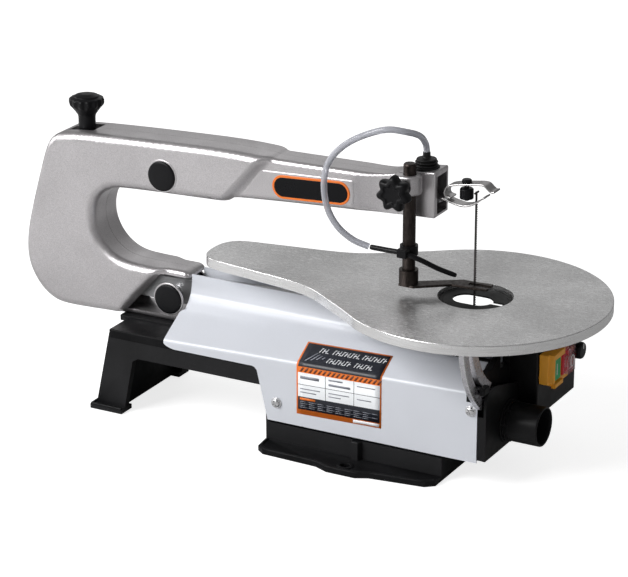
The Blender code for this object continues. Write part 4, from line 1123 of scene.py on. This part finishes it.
def dust_parts():
    """Front cover, ribbed collar and dust port."""
    eased("front_cover", 0.5, 2)
    x0 = 41.2
    centre = (0, PORT[0], PORT[1])
    collar = [(17, x0), (21.2, x0), (21.2, x0 + 1.3), (18.6, x0 + 1.6), (18.6, x0 + 3.0), (19.9, x0 + 3.2),
              (19.9, x0 + 4.4), (17, x0 + 4.4)]
    turned("dust_collar_turned", collar, centre, "X", 96, replaces=("dust_collar",), radius=0.3)
    port = [(16.4, 45.7), (18.7, 45.7), (18.8, 75.6), (18.6, 76.6), (18.0, 77.0), (17.2, 77.0), (16.8, 76.5),
            (16.4, 74), (16.4, 46)]
    turned("dust_port_tube", port, centre, "X", 96, replaces=("dust_port",), radius=0.4)
    for number, turn in enumerate(np.radians([128, 172, 216])):
        y, z = PORT[0] + 19.2 * math.cos(turn), PORT[1] + 19.2 * math.sin(turn)
        line = np.array([(x0 - 0.2, y, z), (x0 + 3, y, z), (x0 + 7, y * 0.98 - 0.2, z)])
        made(f"dust_rib_{number}", tube(line, [1.1, 1.0, 0.5], 10), "frame", "soft_black")


def switch_parts():
    """Switch box, its frame, buttons and flap with their marks, and the speed dial with its scale."""
    eased("switch_box", 1.0, 3)
    eased("switch_frame", 0.8, 3)
    eased("start_button", 0.5, 2)
    eased("stop_button", 0.5, 2)
    eased("stop_flap", 0.4, 2)
    guard = np.array([(13.2, -50.6), (37.8, -50.6), (37.8, -56.2), (16.2, -56.2), (16.2, -78.5),
                      (13.2, -78.5)])
    made("switch_guard", plate(guard, "X", 69.2, 75.2, 0.3, 0.8), "frame", "switch_orange")
    sill = np.array([(20.5, -86.0), (38.8, -86.0), (38.8, -81.8), (20.5, -81.8)])
    made("switch_sill", plate(sill, "X", 69.2, 73.6, 0.3, 0.8), "frame", "switch_orange")
    bar = np.array([(27.6, -75), (29.0, -75), (29.0, -64), (27.6, -64)])
    marked("start_mark", plate(bar, "X", 71.4, 71.75, 0, 0.1), "start_button")
    t = np.linspace(0, 2 * math.pi, 48, endpoint=False)
    ring = np.c_[np.full(48, 71.95), 49.0 + 3.6 * np.cos(t), -68.5 + 5.2 * np.sin(t)]
    marked("stop_mark", ring_tube(ring, 0.42, 6), "stop_button")
    ring = np.c_[np.full(48, 77.3), 50.2 + 4.0 * np.cos(t), -67 + 5.4 * np.sin(t)]
    marked("flap_mark", ring_tube(ring, 0.5, 6), "stop_flap")
    y, z = SPEED
    dial = [(0, 62.8), (9.3, 62.8), (9.3, 65.8), (8.7, 66.6), (8.1, 78.6), (7.2, 80.2), (0, 80.4)]

    def flutes(a, h):
        return 1 - 0.035 * (np.cos(18 * a) > 0.2) * ((h > 66.8) & (h < 79.5))

    turned("speed_dial", dial, (0, y, z), "X", 216, "speed_knob", None, ("speed_knob",), 0.6, wave=flutes)
    pointer = np.array([(y - 0.5, z + 2.0), (y + 0.5, z + 2.0), (y + 0.5, z + 7.2), (y - 0.5, z + 7.2)])
    marked("speed_pointer", plate(pointer, "X", 80.1, 80.75, 0, 0.1), "speed_knob")
    nut = [(3.3, 60.2), (6.6, 60.2), (6.6, 61.2), (5.8, 62.3), (3.3, 62.3), (3.3, 60.4)]
    turned("speed_nut", nut, (0, y, z), "X", 48, replaces=("speed_bush",), radius=0.3)
    ticks = []
    for turn in np.radians(np.linspace(-140, 140, 15)):
        c, s = math.cos(turn + math.pi / 2), math.sin(turn + math.pi / 2)
        if y + 12.4 * c < 61:  # the stop button passes here
            continue
        mid, across = np.array([y + 12.4 * c, z + 12.4 * s]), np.array([-s, c]) * 0.28
        out = np.array([c, s]) * 1.1
        corners = [mid - out - across, mid + out - across, mid + out + across, mid - out + across]
        ticks.append(plate(np.array(corners), "X", 59.9, 60.15, 0, 0, 1))
    marked("speed_scale", together(*ticks), "frame")
    eased("cord_gland", 0.3, 2)
    eased("tilt_lock_knob", 0.8, 3)


def marked(name, shell, body):
    """A white printed mark that rides on a body."""
    obj = made(name, shell, body)
    obj.data.materials.append(ink("mark_white", (0.8, 0.8, 0.8)))


def ring_tube(centres, radius, sides):
    """A closed ring of round section that lies flat across X."""
    middle = centres.mean(0)
    out = centres - middle
    out /= np.linalg.norm(out, axis=1)[:, None]
    a = np.linspace(0, 2 * math.pi, sides, endpoint=False)[None, :, None]
    rings = centres[:, None] + radius * (np.cos(a) * out[:, None] + np.sin(a) * np.array([1.0, 0, 0]))
    return shell_of_rings(rings, loop=True)


# Arms, blade and clamps


def blade(sizes):
    """Toothed strip: the front edge is a saw wave, each tooth a slow rise and a short drop."""
    pitch = sizes.tooth_pitch * 1000
    z = np.arange(-24, 91, pitch)
    tips = np.stack([np.full(len(z), 0.55), z], 1)
    roots = np.stack([np.full(len(z), -0.55), z + 0.35 * pitch], 1)
    teeth = np.stack([tips, roots], 1).reshape(-1, 2)
    lower, upper = [(-2.2, -31), (-0.2, -31), (-0.2, -26)], [(-0.2, 93), (-0.2, 100.6), (-2.2, 100.6)]
    outline = np.vstack([lower, teeth, upper])
    body = shell_of_rings([on_axis(outline, -0.3, "Y"), on_axis(outline, 0.3, "Y")])
    pins = [lathe([(0, -3.8), (1, -3.7), (1, 3.7), (0, 3.8)], (-1, 0, h), "Y", 24) for h in (99.6, -29.6)]
    made("toothed_blade", together(body, *pins), "blade", None, ("blade",), 25, weighted=False)


def blade_clamps():
    """Upper arm and its sprung clamp, both thumb screws, and the parts at the lower end."""
    lower_leaf = [(-46, 91.4), (-31, 90.0), (-21, 87.3), (-13, 86.0), (-5, 87.6), (1, 91.0), (5.5, 95.2),
                  (9.5, 97.6)]
    t = np.radians(np.linspace(250, 30, 12))
    curl = np.stack([-26.2 + 4.6 * np.cos(t), 96.6 + 4.6 * np.sin(t)], 1).tolist()
    upper_leaf = [(-24.5, 92.2)] + curl[1:6]
    upper_leaf += [(-28.5, 102.6), (-22, 105.0), (-8, 107.4), (5, 109.4), (9.6, 109.2), (13.2, 105.8),
                   (16.4, 103.6), (19.2, 104.4)]
    made("blade_spring_lower", strip(lower_leaf, 6.5, 1.5), "upper_arm", None, ("blade_clamp_upper",))
    made("blade_spring_upper", strip(upper_leaf, 6.8, 1.5), "upper_arm", "spring_steel")
    screw = [(0, 90.6), (2.2, 90.6), (2.2, 92.4), (6.4, 92.6), (6.4, 101.6), (5.4, 102.6), (2.1, 102.6),
             (2.1, 107.2), (4.4, 107.4), (4.6, 108.2), (4.6, 110.0), (3.9, 111.0), (0, 111.2)]

    def knurl(a, h):
        gripped = ((h > 93) & (h < 101.4)) | ((h > 107.8) & (h < 110.4))
        return 1 - 0.05 * (np.cos(16 * a) > 0.1) * gripped

    turned("blade_thumb_screw", screw, (SCREW_X, 0, 0), "Z", 192, "upper_screw", None, ("clamp_screw_upper",),
           wave=knurl)
    nose = np.array([
        (-430, 70), (-430, 84), (-400, 87), (-318, 89), (-240, 93), (-90, 98.5), (-56, 97.5), (-46, 91.0),
        (-33, 89.2), (-33, 86.2), (-46, 84.6), (-60, 82.0), (-90, 80.5), (-240, 70), (-318, 60), (-400, 62),
    ])
    arm = bare("upper_arm_casting", plate(closed_bspline(nose, 4, 4), "Y", -6, 6, 1.2, 1.2))
    settled(arm, "upper_arm", None, ("upper_arm",), 35)
    for node in ("lower_arm", "blade_clamp_lower", "connecting_rod"):
        eased(node, 0.6, 2)
    low = [(0, -7.0), (2, -7.0), (2, -9), (3.5, -9), (3.5, -18.6), (2.9, -19.2), (0, -19.2)]
    turned("lower_thumb_screw", low, (2.4, 0, -37.2), "Y", 168, "lower_screw", None, ("clamp_screw_lower",),
           0.4, wave=lambda a, h: 1 - 0.05 * (np.cos(14 * a) > 0.1) * (h < -9.5))


def rear_tension():
    """Fluted tension knob and its rod."""
    head = [(0, 96), (8.2, 96), (8.4, 97), (8.4, 110.8), (8.8, 113.4), (11.5, 117.4), (14.6, 121.4),
            (16.4, 123.4), (17.1, 125.2), (17.1, 128.6), (16.2, 130.2), (12.6, 131.2), (11.8, 132.4),
            (6, 134.2), (0, 134.8)]

    def flutes(a, h):
        gripped = soft_step(h, 119.5, 123.5) * (1 - soft_step(h, 129, 131))
        return 1 + (0.035 * np.cos(14 * a) - 0.02) * gripped

    turned("tension_knob_fluted", head, (TENSION_X, 0, 0), "Z", 168, "tension_knob", None, ("tension_knob",),
           0.9, 4, flutes)
    eased("tension_rod", 0.4, 2)


# Hold-down, blower and drive


def hold_down():
    """Rod, the boss that holds it, star grip, foot, clip and nozzle."""
    x, y = POST
    rod = [(0, 12), (5.4, 12), (6, 12.6), (6, 124.6), (5.0, 126), (0, 126)]
    turned("hold_down_rod", rod, (x, y, 0), "Z", 64, "post", None, ("hold_down_post",), 0.4)
    t = np.linspace(-math.pi / 2, math.pi / 2, 15)
    front = np.stack([x + 13.5 * np.cos(t) * 0.85, y + 11 * np.sin(t)], 1)
    outline = np.vstack([front, [(x - 10, y + 11), (x - 13.5, y + 8), (x - 13.5, y - 8), (x - 10, y - 11)]])
    outline[:, 1] = np.minimum(outline[:, 1], -14.1)
    clamp = bare("post_clamp_boss", plate(closed_bspline(outline, 4, 1.2), "Z", 97, 115.5, 2.2, 2.2, 5))
    carve(clamp, lathe([(0, 90), (6.35, 90), (6.35, 120), (0, 120)], (x, y, 0), "Z", 64))
    carve(clamp, box_shell((x - 20, x - 4), (y - 0.8, y + 0.8), (90, 120)))
    settled(clamp, "frame", None, ("post_clamp",), 35)
    lobe = lambda a, h: (0.885 + 0.115 * np.cos(7 * (a - math.pi / 2))) * np.ones_like(h)
    star = [(0, -49.4), (11, -49.5), (15.2, -50.2), (17.0, -52.2), (17.4, -55.4), (16.8, -59), (14.6, -61.2),
            (10.5, -62.0), (9.6, -61.2), (8.6, -60.6), (0, -60.4)]
    turned("star_grip", star, (x, 0, STAR_Z), "Y", 196, "star_knob", None, ("star_knob",), 1.4, 4, lobe)
    hub = [(0, -34.6), (6.2, -34.8), (7.2, -36), (7.6, -49.6), (8.4, -50.2), (0, -50.2)]
    turned("star_hub", hub, (x, 0, STAR_Z), "Y", 64, "star_knob", "black_plastic", radius=0.6)
    eased("hold_down_foot", 0.6, 2)
    eased("nozzle_clip", 0.8, 2)
    way = [(-90.2, -36.2, 43.4), (-74, -36, 43.2), (-57, -36, 43), (-42, -32, 38), (-28, -21, 28),
           (-16, -9.5, 20)]
    path = smooth_path(way, 48)
    radius = np.interp(np.linspace(0, 1, 48), [0, 0.02, 0.3, 0.97, 1], [2.2, 2.5, 2.5, 2.3, 1.9])
    made("blower_spout", tube(path, radius, 20), "post", None, ("blower_nozzle",))


def blower():
    """Rubber bellows and the ring that seats it."""
    ripple = [(0, 117.4), (10.4, 117.4), (10.8, 118.1), (10.8, 119.2), (8.4, 120.2), (10.6, 121.1),
              (10.6, 122.0), (8.2, 122.8), (9.6, 123.6), (9.2, 124.5), (4.4, 125.3), (3.6, 126.0),
              (3.5, 130.6), (2.9, 131.2), (0, 131.2)]
    turned("air_bellows_rubber", ripple, (BELLOWS_X, 0, 0), "Z", 72, replaces=("air_bellows",), radius=0.6,
           steps=4)
    rim = [(9.6, 113.6), (12.4, 113.6), (12.4, 117.3), (11.6, 117.9), (9.6, 117.9), (9.6, 114)]
    turned("bellows_ring", rim, (BELLOWS_X, 0, 0), "Z", 72, slot="soft_black", radius=0.4)


def drive():
    """Motor as a finned can on a flange, crank and wrist pin."""
    x, z = MOTOR
    body = [(0, 22), (12, 22), (12, 26), (29, 26), (31, 28)]
    for k in range(8):
        y = 42 + 6 * k
        body += [(31, y), (29.2, y + 0.6), (29.2, y + 3), (31, y + 3.6)]
    body += [(31, 96), (29, 99), (12, 99), (12, 102), (0, 102)]
    turned("motor_can", body, (x, 0, z), "Y", 96, replaces=("motor",))
    flange = np.array([(x - 48, z - 24), (x + 48, z - 24), (x + 48, z + 24), (x - 48, z + 24)], float)
    made("motor_flange", plate(closed_bspline(flange, 6, 3), "Y", 26.6, 30, 0.5, 0.5), "frame", "base_black")
    eased("crank_disc", 0.4, 2)
    eased("wrist_pin", 0.3, 2)


def plain_metal():
    """Small solids that keep their own shape take the finish of their slot."""
    for node, obj in frame["nodes"].items():
        if not obj.hide_render:
            obj.data.materials.clear()
            obj.data.materials.append(finish(SLOT_OF[node]))


# ---------------------------------------------------------------- stage


VIEW_PLACE = (1.20734, -2.21117, 1.07780)
VIEW_TURN = (69.591, 0, 28.465)
VIEW_LENS = 162.11
FLOOR_HALF, FLOOR_LEVEL = 7, -0.0006


def aimed(name, kind, place, target, energy, size):
    """A rectangular light at a place, turned to its target."""
    data = bpy.data.lights.new(name, kind)
    data.energy = energy
    data.shape, data.size, data.size_y = "RECTANGLE", size[0], size[1]
    light = bpy.data.objects.new(name, data)
    light.location = place
    light.rotation_euler = (Vector(target) - Vector(place)).to_track_quat("-Z", "Y").to_euler()
    bpy.context.scene.collection.objects.link(light)
    return light


def studio(stage):
    """Camera, three soft lights, white surround and pale floor."""
    scene = bpy.context.scene
    camera_data = bpy.data.cameras.new("view")
    camera_data.sensor_width, camera_data.lens = 36.0, VIEW_LENS
    camera_data.clip_end = 30
    camera = bpy.data.objects.new("view", camera_data)
    camera.location = VIEW_PLACE
    camera.rotation_euler = [math.radians(turn) for turn in VIEW_TURN]
    scene.collection.objects.link(camera)
    scene.camera = camera
    world = bpy.data.worlds.new("studio")
    world.use_nodes = True
    background = world.node_tree.nodes["Background"]
    background.inputs[0].default_value = (1, 1, 1, 1)
    seen = linked(world.node_tree, "ShaderNodeLightPath").outputs["Is Camera Ray"]
    world.node_tree.links.new(span(world.node_tree, seen, 0, 1, stage.surround, 1.0), background.inputs[1])
    scene.world = world
    scene.view_settings.view_transform = "Standard"
    aimed("key", "AREA", (-1.3, -1.9, 1.7), (0, 0, 0.1), stage.key_power, (1.6, 1.2))
    aimed("fill", "AREA", (-2.2, -0.2, 0.8), (0, 0, 0.1), stage.fill_power, (1.2, 1.2))
    aimed("rim", "AREA", (-0.9, 2.6, 1.5), (0, 0, 0.1), stage.back_power, (2.4, 0.9))
    side = np.linspace(-FLOOR_HALF, FLOOR_HALF, 5)
    x, y = np.meshgrid(side, side)
    verts, faces = grid(np.stack([x, y, np.full(x.shape, FLOOR_LEVEL)], -1))
    mesh = bpy.data.meshes.new("floor")
    mesh.from_pydata(verts.tolist(), [], faces)
    floor = bpy.data.objects.new("floor", mesh)
    scene.collection.objects.link(floor)
    material, tree, shader = blank("studio_floor", (0.6, 0.6, 0.6), 0.0, 0.7)
    tone = blended(tree, speckle(tree, 3, 2), (0.59, 0.59, 0.59), (0.61, 0.61, 0.61))
    tree.links.new(tone, shader.inputs["Base Color"])
    shader.inputs["Emission Color"].default_value = (1, 1, 1, 1)
    seen = linked(tree, "ShaderNodeLightPath").outputs["Is Camera Ray"]
    tree.links.new(span(tree, seen, 0, 1, 0.0, 0.78), shader.inputs["Emission Strength"])
    mesh.materials.append(material)


# ---------------------------------------------------------------- add-on


class SawPiece:
    """What every operator of the saw shares."""

    bl_options = {"REGISTER", "UNDO"}

    @staticmethod
    def settings(context):
        return context.scene.saw_sizes, context.scene.saw_colours


class SAW_OT_stage(SawPiece, bpy.types.Operator):
    """Camera, soft lights and pale floor"""

    bl_idname = "saw.stage"
    bl_label = "Stage"

    def execute(self, context):
        studio(context.scene.saw_stage)
        return {"FINISHED"}


class SAW_OT_hose(SawPiece, bpy.types.Operator):
    """Clear air hose from the bellows to the nozzle"""

    bl_idname = "saw.hose"
    bl_label = "Air hose"

    def execute(self, context):
        air_hose(self.settings(context)[0])
        return {"FINISHED"}


class SAW_OT_housing(SawPiece, bpy.types.Operator):
    """Painted arm housing in two halves, with its pivot caps and badge"""

    bl_idname = "saw.housing"
    bl_label = "Arm housing"

    def execute(self, context):
        sizes, colours = self.settings(context)
        housing(sizes)
        badge(colours)
        return {"FINISHED"}


class SAW_OT_covers(SawPiece, bpy.types.Operator):
    """Folded side covers, their screws and the label"""

    bl_idname = "saw.covers"
    bl_label = "Side covers"

    def execute(self, context):
        sizes, colours = self.settings(context)
        cover(-1, "near", sizes)
        cover(1, "far", sizes)
        label(colours, sizes)
        screws()
        return {"FINISHED"}


class SAW_OT_table(SawPiece, bpy.types.Operator):
    """Ground table, its insert and its tilt arm"""

    bl_idname = "saw.table"
    bl_label = "Table"

    def execute(self, context):
        table_top(self.settings(context)[0])
        insert_plate()
        trunnion()
        return {"FINISHED"}


class SAW_OT_base(SawPiece, bpy.types.Operator):
    """Cast base and the bracket for the tilt lock"""

    bl_idname = "saw.base"
    bl_label = "Base"

    def execute(self, context):
        base()
        return {"FINISHED"}


class SAW_OT_front(SawPiece, bpy.types.Operator):
    """Front cover, dust port, switch box and speed dial"""

    bl_idname = "saw.front"
    bl_label = "Front"

    def execute(self, context):
        dust_parts()
        switch_parts()
        return {"FINISHED"}


class SAW_OT_arms(SawPiece, bpy.types.Operator):
    """Parallel arms, blade, clamps and rear tension knob"""

    bl_idname = "saw.arms"
    bl_label = "Arms and blade"

    def execute(self, context):
        blade(self.settings(context)[0])
        blade_clamps()
        rear_tension()
        return {"FINISHED"}


class SAW_OT_hold_down(SawPiece, bpy.types.Operator):
    """Hold-down rod, star grip, foot and air blower"""

    bl_idname = "saw.hold_down"
    bl_label = "Hold-down"

    def execute(self, context):
        hold_down()
        blower()
        return {"FINISHED"}


class SAW_OT_drive(SawPiece, bpy.types.Operator):
    """Motor, crank and the finish of the small metal parts"""

    bl_idname = "saw.drive"
    bl_label = "Drive"

    def execute(self, context):
        drive()
        plain_metal()
        return {"FINISHED"}


OPERATORS = (
    SAW_OT_stage, SAW_OT_hose, SAW_OT_housing, SAW_OT_covers, SAW_OT_table, SAW_OT_base, SAW_OT_front,
    SAW_OT_arms, SAW_OT_hold_down, SAW_OT_drive,
)


class SAW_PT_sidebar(bpy.types.Panel):
    """Lists the pieces of the saw and their main settings"""

    bl_label = "Scroll Saw"
    bl_idname = "SAW_PT_sidebar"
    bl_space_type = "VIEW_3D"
    bl_region_type = "UI"
    bl_category = "Scroll Saw"

    def draw(self, context):
        for group in (context.scene.saw_sizes, context.scene.saw_colours, context.scene.saw_stage):
            for key in group.__annotations__:
                self.layout.prop(group, key)
        for operator in OPERATORS:
            self.layout.operator(operator.bl_idname)


CLASSES = (SawColours, SawSizes, SawStage, *OPERATORS, SAW_PT_sidebar)


def register():
    """Adds the classes and hangs the settings on the scene."""
    for cls in CLASSES:
        bpy.utils.register_class(cls)
    bpy.types.Scene.saw_colours = bpy.props.PointerProperty(type=SawColours)
    bpy.types.Scene.saw_sizes = bpy.props.PointerProperty(type=SawSizes)
    bpy.types.Scene.saw_stage = bpy.props.PointerProperty(type=SawStage)


def unregister():
    """Takes the settings and the classes away again."""
    del bpy.types.Scene.saw_stage, bpy.types.Scene.saw_sizes, bpy.types.Scene.saw_colours
    for cls in reversed(CLASSES):
        bpy.utils.unregister_class(cls)


def main():
    """Builds everything in order."""
    register()
    for operator in OPERATORS:
        group, name = operator.bl_idname.split(".")
        getattr(getattr(bpy.ops, group), name)()


if __name__ == "__main__":
    main()
